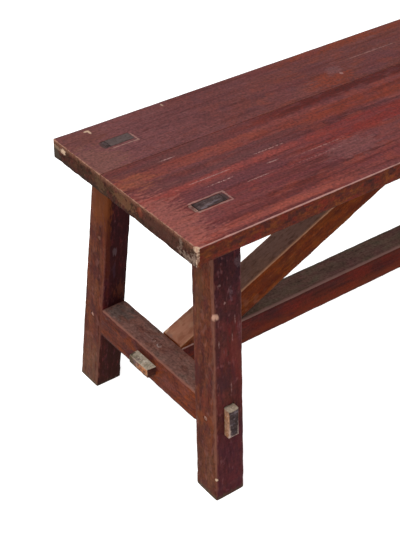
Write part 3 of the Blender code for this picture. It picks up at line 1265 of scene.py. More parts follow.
SEAT_SIDES = Coat(
    (79, 32, 17), ((100, 50, 18), (92, 27, 18), (50, 21, 19)), (42, 18, 14), Face.SIDE, (55.0, 95.0),
)
SEAT_UNDERSIDE = Coat((78, 44, 30), ((92, 56, 38), (60, 32, 24)), (44, 24, 18), Face.DOWN)
# Lines along the seat's arrises: worn edges, painted highlights and painted shade.
SEAT_ARRIS_WEAR_AND_PAINTED_LIGHT = (
    # Light line on the front top arris: worn edge and painted highlight.
    ArrisWearAndPaintedLight((160, 120, 112), 0.9, 0.0023, 0.0016, within=((1, -0.15, -0.16), (2, 0.44, 0.446))),
    # Dark line on the back arris: painted shade where the rounded edge turns away from the light.
    ArrisWearAndPaintedLight((62, 30, 28), 0.8, 0.0026, 0.002, within=((1, 0.15, 0.16),)),
    ArrisWearAndPaintedLight((50, 22, 14), 0.6, 0.002, 0.004, within=((1, -0.15, -0.16), (2, 0.43, 0.425))),
    # Light line on the ends' top arris: worn edge and painted highlight.
    ArrisWearAndPaintedLight((146, 108, 90), 0.75, 0.0016, 0.004, "end_arris", within=((2, 0.436, 0.442),)),
)
BACK_BOARD = Polish(
    "back_board",
    3.0,
    (
        Coat(
            (86, 43, 41), ((94, 51, 50), (84, 36, 30), (80, 40, 41)), (58, 22, 20),
            patch=(7.0, 24.0), cover=0.6, grain=0.5,
        ),
        Wash((93, 54, 55), 0.7, within=((0, -0.53, -0.72),)),
        Wash((94, 44, 30), 0.35, within=((0, -0.62, -0.25),)),
        Band((104, 40, 16), 0.75, 0.148, 0.172, -0.42, 0.9, 0.007, 0.1),
        Mark((84, 46, 36), 0.45, (-0.77, 0.14, 0.45), (0.05, 0.03, 0.02), 1.1),
        Mark((104, 40, 20), 0.7, (-0.362, 0.071, 0.45), (0.044, 0.024, 0.02), 1.3, 0.2),
        Specks((84, 40, 46), 0.35, (14.0, 34.0), 0.5, 80.0, within=((0, -0.55, -0.4),)),
        Specks((78, 44, 48), 0.3, (30.0, 60.0), 0.5, 84.0),
        Specks((106, 46, 30), 0.35, (24.0, 50.0), 0.52, 91.0, within=((0, -0.66, -0.45),)),
        Mark((102, 70, 70), 0.4, (-0.34, 0.092, 0.45), (0.016, 0.012, 0.02), 0.9),
        Mark((74, 34, 34), 0.5, (-0.372, 0.113, 0.45), (0.04, 0.013, 0.02), 1.0),
        Mark((98, 62, 54), 0.6, (-0.79, 0.075, 0.45), (0.05, 0.05, 0.02), 0.9),
        SEAT_UNDERSIDE,
        SEAT_SIDES,
    ),
    (
        Specks((62, 30, 32), 0.45, (130.0, 190.0), 0.62, 60.0),
        Specks((116, 72, 70), 0.25, (60.0, 150.0), 0.6, 71.0, face=Face.UP),
        Outline(
            (138, 104, 94), 0.65, (-0.757, 0.0955), (-0.7045, 0.1185),
            within=((0, -0.752, -0.742), (1, 0.119, 0.113)),
        ),
        Mark((46, 38, 37), 0.8, (-0.7545, 0.1085, 0.45), (0.0042, 0.0105, 0.01), 0.3),
        Mark(CREAM, 0.7, (-0.752, 0.156, 0.45), (0.0045, 0.0022, 0.02), 0.5),
        Mark(CREAM, 0.7, (-0.7495, 0.151, 0.45), (0.0022, 0.005, 0.02), 0.4),
        Mark(CREAM, 0.45, (-0.62, 0.157, 0.45), (0.0022, 0.0042, 0.02), 0.5),
        Mark(SCRATCH, 0.5, (-0.338, 0.078, 0.45), (0.0035, 0.0045, 0.02), 0.6),
        Mark(SCRATCH, 0.35, (-0.248, 0.107, 0.45), (0.064, 0.0016, 0.02), 0.7, 0.6),
        *SEAT_ARRIS_WEAR_AND_PAINTED_LIGHT,
    ),
    gloss=0.1,
    rough=0.66,
    hairs=0.6,
    speckle=1.6,
    depth=0.0003,
)
FRONT_BOARD = replace(
    BACK_BOARD,
    name="front_board",
    coats=(
        Coat(
            (93, 44, 42), ((87, 47, 48), (102, 40, 30), (92, 35, 35)), (56, 15, 14),
            patch=(6.0, 48.0), cover=0.6, grain=0.6,
        ),
        Specks((118, 50, 36), 0.35, (24.0, 60.0), 0.52, 91.0),
        Band((76, 40, 39), 0.9, 0.0215, 0.06, -0.9, -0.585, 0.003, 0.07),
        Band((64, 11, 6), 0.9, 0.0255, 0.06, -0.54, 0.9, 0.005, 0.1),
        Band((106, 49, 39), 0.85, -0.001, 0.0205, -0.9, -0.52, 0.003, 0.12),
        Band((101, 37, 20), 0.85, -0.016, 0.013, -0.52, 0.9, 0.006, 0.1),
        Band((76, 41, 41), 0.9, -0.0335, -0.005, -0.785, -0.49, 0.003, 0.07),
        Band((114, 49, 43), 0.8, -0.049, -0.0365, -0.9, -0.5, 0.002, 0.08),
        Band((78, 38, 42), 0.8, -0.08, -0.056, -0.755, -0.565, 0.003, 0.04),
        Band((100, 26, 20), 0.65, -0.07, -0.033, -0.5, 0.9, 0.004, 0.08),
        Band((72, 27, 27), 0.7, -0.138, -0.13, -0.79, -0.6, 0.002, 0.05),
        Band((78, 28, 34), 0.5, -0.113, -0.104, -0.7, -0.5, 0.003, 0.06),
        Band((122, 58, 47), 0.85, -0.161, -0.143, -0.9, -0.52, 0.003, 0.1),
        Mark((97, 56, 55), 0.75, (-0.478, -0.096, 0.45), (0.055, 0.024, 0.02), 1.0),
        # Brighter pinkish patch near the front corner: painted sheen.
        Mark((128, 74, 66), 0.55, (-0.795, -0.105, 0.45), (0.05, 0.08, 0.02), 1.4),
        Mark((112, 62, 42), 0.5, (-0.778, 0.006, 0.45), (0.034, 0.022, 0.02), 1.4),
        Specks((82, 42, 46), 0.3, (30.0, 70.0), 0.5, 84.0),
        SEAT_UNDERSIDE,
        SEAT_SIDES,
    ),
    marks=(
        Specks((64, 26, 30), 0.45, (90.0, 210.0), 0.62, 60.0),
        Specks((118, 68, 64), 0.25, (40.0, 170.0), 0.6, 71.0, face=Face.UP),
        Outline((136, 104, 96), 0.6, (-0.748, -0.103), (-0.6935, -0.0795), 0.0017),
        Mark((46, 38, 37), 0.85, (-0.6985, -0.0912, 0.45), (0.004, 0.0105, 0.01), 0.3),
        Mark(SCRATCH, 0.6, (-0.705, 0.0285, 0.45), (0.018, 0.0013, 0.02), 0.6, 0.8),
        Mark(SCRATCH, 0.6, (-0.576, -0.0315, 0.45), (0.034, 0.0012, 0.02), 0.5, 0.9),
        Mark(SCRATCH, 0.55, (-0.684, -0.0425, 0.45), (0.038, 0.0013, 0.02), 0.6, 0.5),
        Mark(SCRATCH, 0.75, (-0.68, -0.0605, 0.45), (0.028, 0.0013, 0.02), 0.5, 0.9),
        Mark(SCRATCH, 0.7, (-0.59, -0.0605, 0.45), (0.012, 0.0014, 0.02), 0.5, 0.6),
        Mark(SCRATCH, 0.65, (-0.632, -0.0815, 0.45), (0.028, 0.0012, 0.02), 0.5, 0.6),
        Mark(SCRATCH, 0.4, (-0.51, -0.069, 0.45), (0.048, 0.0013, 0.02), 0.6, 0.8),
        Mark(SCRATCH, 0.3, (-0.52, -0.085, 0.45), (0.07, 0.0012, 0.02), 0.8, 0.9),
        *SEAT_ARRIS_WEAR_AND_PAINTED_LIGHT,
        Mark(CREAM, 0.85, (-0.8, -0.166, 0.449), (0.0045, 0.006, 0.006), 0.9),
        Mark(CREAM, 0.6, (-0.799, -0.1667, 0.436), (0.003, 0.0022, 0.015), 1.1, 0.6),
    ),
)
SEAT_END = Polish(
    "seat_end",
    1.0,
    (
        Coat(
            (50, 26, 15), ((72, 40, 25), (48, 31, 16), (66, 26, 19)), (28, 12, 8),
            patch=(60.0, 75.0), grain=0.6,
        ),
        # Lighter strip at the top of the end: worn rim and painted highlight.
        Wash((112, 74, 58), 0.65, within=((2, 0.4405, 0.448),)),
        Wash((34, 26, 18), 0.6, within=((2, 0.431, 0.424), (1, 0.02, 0.08))),
        Wash((38, 18, 12), 0.4, within=((2, 0.442, 0.436), (1, -0.05, -0.1))),
    ),
    (
        Specks((26, 12, 8), 0.7, (300.0, 420.0), 0.62, 60.0),
        Specks((116, 86, 70), 0.35, (200.0, 260.0), 0.64, 71.0),
        Mark(CREAM, 0.85, (-0.8, 0.1415, 0.4405), (0.01, 0.008, 0.0045), 0.9),
        Mark((128, 104, 84), 0.6, (-0.8, 0.156, 0.4405), (0.01, 0.012, 0.004), 0.9),
        Mark((98, 42, 24), 0.65, (-0.8, -0.0425, 0.4375), (0.01, 0.0085, 0.0075), 0.9),
        Mark((120, 66, 50), 0.5, (-0.8, -0.0435, 0.442), (0.01, 0.0035, 0.004), 0.9),
        Mark((82, 58, 38), 0.5, (-0.8, 0.05, 0.436), (0.01, 0.011, 0.012), 1.5),
        Mark((96, 64, 42), 0.55, (-0.8, -0.008, 0.435), (0.01, 0.026, 0.009), 1.5),
        Mark((72, 40, 32), 0.5, (-0.8, -0.09, 0.436), (0.01, 0.05, 0.012), 1.5),
        Mark(SCUFF, 0.55, (-0.8, -0.15, 0.4255), (0.01, 0.023, 0.0065), 1.5, 0.6),
        Mark(SCUFF, 0.55, (-0.8, -0.161, 0.431), (0.01, 0.009, 0.009), 1.4, 0.5),
        Mark(SCUFF, 0.4, (-0.8, -0.132, 0.439), (0.01, 0.004, 0.01), 1.4, 0.6),
        Mark(CREAM, 0.8, (-0.8, -0.164, 0.447), (0.01, 0.007, 0.005), 1.0),
        Mark(CREAM, 0.7, (-0.8, -0.166, 0.428), (0.01, 0.004, 0.007), 1.0),
        Mark((58, 50, 40), 0.75, (-0.8, 0.16, 0.43), (0.01, 0.012, 0.009), 1.2),
        Mark(CREAM, 0.7, (-0.8, -0.1667, 0.437), (0.004, 0.0022, 0.014), 1.1, 0.6),
        # Light line on the end's top arris: worn edge and painted highlight.
        ArrisWearAndPaintedLight((146, 108, 90), 0.75, 0.0024, 0.005, "end_arris", within=((2, 0.438, 0.444),)),
        ArrisWearAndPaintedLight((28, 18, 14), 0.7, 0.0022, 0.003, "end_arris", within=((2, 0.43, 0.426),)),
    ),
    figure=END_FIGURE,
    gloss=0.05,
    rough=0.85,
    speckle=1.3,
    depth=0.0008,
)
LEG = Polish(
    "leg",
    1.0,
    (
        Coat(
            (80, 40, 25), ((88, 50, 32), (80, 30, 21), (92, 45, 20), (60, 22, 17)), (46, 18, 13),
            patch=(20.0, 56.0), cover=0.75, grain=0.55,
        ),
        Wash((78, 47, 33), 0.5, within=((2, 0.15, 0.06),)),
        Coat(
            (64, 27, 26),
            ((76, 26, 25), (50, 20, 28), (70, 32, 28), (56, 14, 16)),
            (32, 8, 10),
            Face.SIDE,
            (22.0, 55.0),
            0.7,
        ),
        # Darker towards the top on the front and back faces: painted shade under the seat.
        Wash((40, 16, 22), 0.7, within=((2, 0.22, 0.36),), face=Face.SIDE),
        Specks((90, 32, 34), 0.3, (36.0, 60.0), 0.5, 31.0, face=Face.SIDE),
        Specks((40, 18, 26), 0.45, (44.0, 70.0), 0.5, 41.0, face=Face.SIDE),
        Specks((98, 44, 22), 0.25, (44.0, 60.0), 0.5, 51.0, face=Face.FLANK),
        Specks((60, 26, 28), 0.45, (36.0, 60.0), 0.5, 65.0, face=Face.FLANK),
    ),
    (
        Specks((112, 72, 74), 0.35, (90.0, 190.0), 0.62, 60.0, face=Face.SIDE),
        Specks((108, 68, 60), 0.35, (60.0, 100.0), 0.56, 66.0, face=Face.FLANK),
        Specks((40, 14, 14), 0.45, (80.0, 160.0), 0.62, 71.0),
        ArrisWearAndPaintedLight((106, 66, 54), 0.4, 0.0022, 0.006),
        ArrisWearAndPaintedLight((64, 58, 42), 0.7, 0.009, 0.01, "end_arris"),
    ),
    fibre=Fibre.UPRIGHT,
)
LEG_MARKS: dict[str, tuple[Layer, ...]] = {
    "leg_front_left": (
        ArrisWearAndPaintedLight((112, 76, 64), 0.4, 0.007, 0.014, face=Face.FLANK, within=((2, 0.02, 0.08),)),
        Wash((70, 28, 36), 0.4, face=Face.SIDE, within=((2, 0.13, 0.09),)),
        # Lighter band at mid-height on the front face: painted light bounced from the floor.
        Wash((108, 62, 46), 0.13, face=Face.SIDE, within=((2, 0.1, 0.15), (2, 0.38, 0.26))),
        Mark((98, 34, 30), 0.3, (-0.718, -0.15, 0.235), (0.018, 0.02, 0.05), 1.4),
        Mark((50, 26, 30), 0.45, (-0.742, -0.15, 0.2), (0.018, 0.02, 0.026), 1.4),
        Mark((170, 130, 112), 0.85, (-0.75, -0.142, 0.305), (0.006, 0.0045, 0.0064), 0.6),
        Mark((56, 20, 20), 0.7, (-0.758, -0.118, 0.196), (0.03, 0.013, 0.022), 1.0),
        Mark((98, 46, 22), 0.5, (-0.76, -0.135, 0.128), (0.02, 0.03, 0.009), 0.9),
        Mark((74, 50, 30), 0.4, (-0.755, -0.11, 0.33), (0.02, 0.012, 0.045), 1.3),
        Mark(SCRATCH, 0.5, (-0.735, -0.158, 0.118), (0.01, 0.02, 0.0022), 0.9),
        Mark((96, 78, 84), 0.3, (-0.724, -0.139, 0.334), (0.004, 0.02, 0.012), 1.4, 0.7),
        Mark((96, 68, 76), 0.3, (-0.712, -0.146, 0.27), (0.004, 0.02, 0.018), 1.4, 0.7),
        Mark((92, 76, 80), 0.35, (-0.708, -0.139, 0.375), (0.006, 0.02, 0.01), 1.2, 0.4),
        Mark(CREAM, 0.85, (-0.7648, -0.173, 0.037), (0.003, 0.003, 0.0026), 0.5),
        Mark(SCRATCH, 0.4, (-0.742, -0.15, 0.352), (0.0026, 0.02, 0.003), 1.4, 0.6),
        Mark(SCRATCH, 0.45, (-0.735, -0.15, 0.322), (0.0026, 0.02, 0.0026), 1.2, 0.6),
        Mark(SCRATCH, 0.35, (-0.719, -0.15, 0.29), (0.0012, 0.02, 0.009), 0.6, 0.6),
        Mark(SCRATCH, 0.35, (-0.725, -0.15, 0.265), (0.0012, 0.02, 0.007), 0.6, 0.6),
        Mark(SCRATCH, 0.3, (-0.748, -0.15, 0.262), (0.0014, 0.02, 0.006), 0.6, 0.6),
        Mark(SCRATCH, 0.35, (-0.731, -0.155, 0.186), (0.0012, 0.02, 0.011), 0.6, 0.6),
    ),
    "leg_back_left": (
        # Darker body of the front and back faces, inward of the outer arris: painted shade.
        Wash((40, 13, 14), 0.75, within=((0, -0.75, -0.744),), face=Face.SIDE),
        Wash((40, 15, 8), 0.8, within=((2, 0.12, 0.09),), face=Face.SIDE),
        Wash((102, 78, 62), 0.22, within=((2, 0.11, 0.05),), face=Face.FLANK),
        Mark((84, 68, 72), 0.5, (-0.738, 0.115, 0.262), (0.0042, 0.02, 0.009), 0.9),
        Mark((56, 36, 48), 0.4, (-0.739, 0.122, 0.225), (0.006, 0.02, 0.018), 1.2),
        # Dark line along the flank's back arris: painted soft shadow.
        ArrisWearAndPaintedLight((40, 20, 18), 0.6, 0.0045, 0.006, face=Face.FLANK, within=((1, 0.155, 0.165),)),
        Mark((66, 26, 12), 0.75, (-0.75, 0.112, 0.3), (0.005, 0.02, 0.11), 0.9),
        Mark((84, 42, 24), 0.5, (-0.725, 0.13, 0.182), (0.014, 0.02, 0.022), 1.6),
        Mark((98, 50, 16), 0.55, (-0.75, 0.128, 0.35), (0.01, 0.03, 0.05), 0.8),
        Mark((110, 74, 60), 0.5, (-0.755, 0.128, 0.285), (0.01, 0.004, 0.004), 0.8),
    ),
}
RAIL = Polish(
    "rail",
    1.0,
    (
        Coat(
            (76, 36, 25), ((94, 46, 28), (60, 24, 26), (84, 44, 40), (100, 44, 14)), (40, 14, 10),
            patch=(28.0, 50.0), cover=0.85,
        ),
        Wash((62, 27, 21), 0.5, within=((1, 0.0, 0.08),)),
        Wash((96, 42, 18), 0.4, within=((1, 0.0, -0.08),)),
        Coat(
            (98, 68, 61),
            ((90, 72, 65), (108, 72, 63), (88, 57, 52)),
            (66, 42, 38),
            Face.UP,
            (30.0, 44.0),
            0.7,
            0.3,
        ),
        Mark((72, 64, 60), 0.7, (-0.738, 0.098, 0.157), (0.022, 0.024, 0.02), 1.0),
        Specks((118, 86, 76), 0.35, (44.0, 60.0), 0.52, 34.0, face=Face.UP),
        Specks((84, 46, 36), 0.45, (44.0, 60.0), 0.52, 44.0, face=Face.UP),
    ),
    (
        Specks((120, 92, 86), 0.4, (120.0, 160.0), 0.62, 60.0, face=Face.UP),
        Specks((44, 26, 22), 0.45, (120.0, 180.0), 0.62, 71.0),
        Mark((150, 130, 124), 0.6, (-0.7405, -0.001, 0.157), (0.004, 0.0055, 0.01), 1.0),
        Mark((130, 104, 98), 0.5, (-0.74, 0.014, 0.157), (0.0035, 0.004, 0.01), 1.0),
        Mark((142, 104, 96), 0.6, (-0.748, 0.1262, 0.157), (0.018, 0.003, 0.01), 1.0),
        ArrisWearAndPaintedLight((124, 82, 70), 0.6, 0.0022, 0.004, face=Face.HIGH),
        ArrisWearAndPaintedLight((40, 18, 14), 0.7, 0.004, 0.004, within=((2, 0.135, 0.12),)),
    ),
    fibre=Fibre.ACROSS,
    figure=Figure(0.004),
)
LONG_RAIL = replace(
    RAIL,
    name="long_rail",
    coats=(
        Coat(
            (71, 27, 16), ((86, 28, 10), (58, 22, 24), (76, 32, 24), (84, 22, 12)), (38, 10, 8),
            patch=(16.0, 55.0), cover=0.65,
        ),
        Wash((56, 27, 29), 0.6, within=((2, 0.134, 0.15), (0, -0.3, -0.55))),
        Wash((62, 26, 22), 0.4, within=((2, 0.138, 0.152),)),
        Specks((96, 26, 18), 0.35, (22.0, 60.0), 0.5, 31.0, face=Face.SIDE),
        Specks((50, 20, 22), 0.4, (22.0, 60.0), 0.5, 41.0, face=Face.SIDE),
        Coat(
            (110, 84, 76),
            ((104, 90, 76), (118, 82, 76), (94, 74, 64)),
            (70, 52, 44),
            Face.UP,
            (20.0, 44.0),
            0.7,
            0.3,
        ),
        Specks((104, 98, 78), 0.3, (20.0, 50.0), 0.5, 51.0, face=Face.UP),
        Specks((112, 70, 72), 0.4, (20.0, 50.0), 0.52, 65.0, face=Face.UP),
    ),
    marks=(
        Specks((130, 104, 92), 0.4, (80.0, 160.0), 0.62, 60.0, face=Face.UP),
        Specks((46, 30, 24), 0.45, (80.0, 180.0), 0.62, 71.0),
        Wash((92, 38, 14), 0.45, face=Face.SIDE, within=((2, 0.134, 0.12),)),
        ArrisWearAndPaintedLight((150, 114, 106), 0.8, 0.006, 0.004, face=Face.UP, within=((1, 0.0, -0.01),)),
        ArrisWearAndPaintedLight((78, 76, 60), 0.6, 0.006, 0.005, face=Face.UP, within=((1, 0.0, 0.01),)),
        ArrisWearAndPaintedLight((48, 20, 14), 0.6, 0.003, 0.004, within=((2, 0.135, 0.12),)),
    ),
    fibre=Fibre.ALONG,
)
BRACE = replace(
    RAIL,
    name="brace",
    coats=(
        Coat(
            (90, 36, 6), ((100, 48, 8), (77, 24, 5), (96, 38, 4), (66, 24, 9)), (54, 18, 5),
            patch=(18.0, 48.0), cover=0.65,
        ),
        Coat(
            (106, 76, 66),
            ((114, 86, 76), (96, 66, 56), (110, 76, 58)),
            (76, 48, 40),
            Face.UP,
            (22.0, 44.0),
            0.7,
            0.3,
        ),
    ),
    marks=(
        Specks((106, 52, 12), 0.25, (26.0, 50.0), 0.5, 37.0, face=Face.SIDE),
        Specks((62, 20, 12), 0.4, (26.0, 50.0), 0.5, 47.0, face=Face.SIDE),
        Specks((118, 66, 34), 0.4, (70.0, 150.0), 0.62, 60.0, face=Face.SIDE),
        Specks((60, 30, 20), 0.25, (80.0, 160.0), 0.62, 71.0),
        # Lighter upper part of the top face: greyish dust, and painted light that offsets the seat's
        # shadow.
        Wash((150, 118, 106), 0.6, within=((2, 0.19, 0.26),), face=Face.UP),
        Wash((92, 56, 48), 0.5, within=((2, 0.34, 0.42),), face=Face.UP),
        # Light line on the upper arrises: worn edge and painted highlight.
        ArrisWearAndPaintedLight((164, 120, 94), 0.9, 0.004, 0.0024, face=Face.HIGH),
    ),
)
BRACE_MARKS: tuple[Layer, ...] = (
    Mark((140, 92, 72), 0.9, (-0.7, 0.0, 0.166), (0.05, 0.03, 0.04), 0.5, face=Face.UP),
    Mark((150, 104, 84), 0.5, (-0.7, 0.004, 0.168), (0.022, 0.01, 0.02), 1.2, face=Face.UP),
    Specks((108, 62, 44), 0.5, (60.0, 90.0), 0.5, 77.0, within=((2, 0.205, 0.18),)),
    Specks((150, 114, 92), 0.4, (50.0, 80.0), 0.52, 87.0, within=((2, 0.205, 0.18),), face=Face.UP),
    Mark((170, 138, 112), 0.7, (-0.716, 0.02, 0.158), (0.01, 0.005, 0.01), 1.0, face=Face.UP),
    Mark((96, 78, 72), 0.5, (-0.716, 0.006, 0.158), (0.006, 0.012, 0.01), 0.9, face=Face.UP),
)
END_TENON = Polish(
    "end_tenon",
    1.0,
    (
        Coat((56, 44, 43), ((80, 68, 72), (40, 30, 30)), (28, 20, 20), patch=(80.0, 110.0), grain=0.5),
        Coat((138, 102, 80), ((150, 122, 104), (124, 80, 50)), (84, 58, 48), Face.FLANK, (70.0, 120.0)),
        Coat((140, 124, 108), ((156, 142, 126), (118, 100, 86)), (92, 78, 66), Face.UP, (120.0, 120.0)),
    ),
    (
        Specks((104, 92, 96), 0.45, (110.0, 160.0), 0.58, 60.0, face=Face.SIDE),
        ArrisWearAndPaintedLight((162, 138, 126), 0.9, 0.0042, 0.004),
    ),
    figure=END_FIGURE,
    rough=0.85,
    speckle=1.4,
    depth=0.0009,
)
LONG_TENON = replace(
    END_TENON,
    name="long_tenon",
    coats=(
        Coat(
            (142, 92, 64), ((124, 104, 86), (160, 104, 66), (100, 66, 48)), (62, 42, 34),
            patch=(90.0, 120.0), grain=0.6,
        ),
        Coat((62, 32, 26), ((78, 44, 34), (44, 22, 20)), (34, 16, 14), Face.SIDE),
        Coat((146, 132, 116), ((166, 156, 142), (118, 110, 92)), (92, 84, 70), Face.UP, (120.0, 120.0)),
        Mark((58, 50, 38), 0.9, (-0.775, 0.021, 0.133), (0.012, 0.015, 0.014), 0.8),
        Mark((96, 76, 76), 0.6, (-0.775, 0.008, 0.139), (0.012, 0.008, 0.006), 1.0),
    ),
    marks=(
        Specks((60, 46, 38), 0.6, (220.0, 300.0), 0.64, 71.0),
        ArrisWearAndPaintedLight((150, 132, 116), 0.6, 0.0024, 0.003, face=Face.HIGH),
        ArrisWearAndPaintedLight((52, 34, 26), 0.7, 0.003, 0.003, within=((2, 0.134, 0.13),)),
    ),
)
LEG_TENON = replace(
    END_TENON,
    name="leg_tenon",
    coats=(
        Coat((66, 53, 52), ((84, 71, 71), (50, 38, 38)), (32, 22, 22), patch=(60.0, 120.0), grain=0.6),
    ),
    marks=(
        Specks((84, 74, 78), 0.6, (260.0, 420.0), 0.64, 60.0),
        ArrisWearAndPaintedLight((34, 24, 22), 0.6, 0.0016, 0.0015),
    ),
)
TENON_MARKS: dict[str, tuple[Layer, ...]] = {
    "leg_back_left": (Wash((82, 70, 68), 0.6),),
    "leg_front_left": (
        Mark((96, 84, 88), 0.7, (-0.737, -0.0975, 0.45), (0.006, 0.0022, 0.01), 0.8),
        Mark((96, 84, 88), 0.65, (-0.727, -0.095, 0.45), (0.008, 0.0018, 0.01), 0.8),
        Mark((88, 78, 84), 0.6, (-0.714, -0.093, 0.45), (0.01, 0.0014, 0.01), 0.8),
    ),
}
WEDGE = replace(LEG_TENON, name="wedge", marks=(Specks((84, 70, 64), 0.5, (260.0, 420.0)),))
PALE_WEDGE = replace(
    WEDGE,
    name="pale_wedge",
    coats=(Coat((104, 76, 68), ((128, 100, 92), (84, 52, 48)), (56, 36, 34), patch=(120.0, 160.0)),),
)
PEG = replace(
    WEDGE,
    name="peg",
    coats=(Coat((132, 96, 84), ((146, 112, 100), (114, 78, 66)), (92, 62, 50), patch=(160.0, 200.0)),),
)


@dataclass(frozen=True)
class Dent:
    """Bruise or chip.

    Args:
        place: Its middle.
        reach: Its half sizes along X, Y and Z.
        depth: Its deepest wear.
    """

    place: Triple
    reach: Triple
    depth: float


LEG_SEEDS = {
    "leg_front_left": 2.0,
    "leg_back_left": 5.0,
    "leg_front_right": 7.0,
    "leg_back_right": 13.0,
}
LEG_DENTS = {
    "leg_front_left": (
        Dent((-0.7505, -0.1425, 0.3050), (0.006, 0.005, 0.007), 0.0022),
        Dent((-0.7640, -0.1730, 0.0370), (0.005, 0.006, 0.006), 0.0015),
    ),
}


@dataclass
class Assembly(Workbench):
    """What every sub-assembly does with its finished pieces.

    Args:
        easing: Rounding of the timbers' arrises.
        fullness: How far a timber's faces stand out before they are worn.
        pitch: Distance between the points that wear can move.
        insets: How far inside a timber's faces it is cut along, to let wear fade out.
        rubbed: How far from an arris its wear goes.
        step: Distance between the cuts near a tip.
        made: Names of the pieces so far.
    """

    easing: float = 0.0016
    fullness: float = 0.0009
    pitch: float = 0.0050
    insets: Span = (0.0055, 0.0115)
    rubbed: float = 0.0060
    step: float = 0.0040
    made: list[str] = field(default_factory=list)

    def settle(
        self,
        piece: Piece,
        node: str,
        slot: str,
        finishes: Sequence[bpy.types.Material],
        long_lines: Sequence[Line],
        end_lines: Sequence[Line] = (),
        *others: Test,
    ) -> None:
        """Dress a piece, put it in the place of its node and report it.

        Args:
            piece: The finished mesh.
            node: The frame's node that it stands for.
            slot: The record's material slot; not used.
            finishes: The materials, in the order of the mesh's own slots.
            long_lines: Arrises along the fibres.
            end_lines: Arrises across the fibres.
            others: Test of a face for each material after the first.
        """
        self.smooth(piece)
        self.note(piece, "long_arris", self.distances(piece, long_lines))
        self.note(piece, "end_arris", self.distances(piece, end_lines))
        self.note(piece, "facing", self.rows(piece, "normal"))
        piece.data.materials.clear()
        for finish in finishes:
            piece.data.materials.append(finish)
        with self.editing(piece):
            for index, wanted in enumerate(others, 1):
                self.pick(piece, Kind.FACE, wanted)
                piece.active_material_index = index
                bpy.ops.object.material_slot_assign()
        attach(piece, "root")
        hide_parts(node)
        self.made.append(piece.name)
        log.info("%s: %d faces in place of %s", piece.name, len(piece.data.polygons), node)

    def edge_wear(self, piece: Piece, lines: Sequence[Line], reach: float) -> np.ndarray:
        """Weights of a piece's vertices that rise to 1 on some arrises, from a reach away."""
        return np.clip(1.0 - self.distances(piece, lines) / reach, 0.0, 1.0)

    def weather(self, piece: Piece, lines: Sequence[Line], where: Any = 1.0) -> None:
        """Wear a timber a little all over, more along its arrises, with a few chips in them.

        Args:
            piece: The piece.
            lines: Its arrises.
            where: Share of the wear for each vertex.
        """
        near = self.edge_wear(piece, lines, self.rubbed) * where
        self.wear(piece, (near + 1.0) * where, 0.0003, 0.05)
        self.wear(piece, near, 0.0005, 0.03)
        self.wear(piece, near, 0.0007, 0.014, 2.2)

    def bruise(self, piece: Piece, dents: Iterable[Dent]) -> None:
        """Put its dents in a piece, each as deep as its uneven middle.

        Args:
            piece: The piece.
            dents: Its dents.
        """
        for dent in dents:
            offset = (self.rows(piece) - np.array(dent.place)) / np.array(dent.reach)
            share = np.clip((1.0 - np.linalg.norm(offset, axis=1)) * 1.6, 0.0, 1.0)
            self.wear(piece, share, dent.depth, min(dent.reach) * 0.7, 1.6)


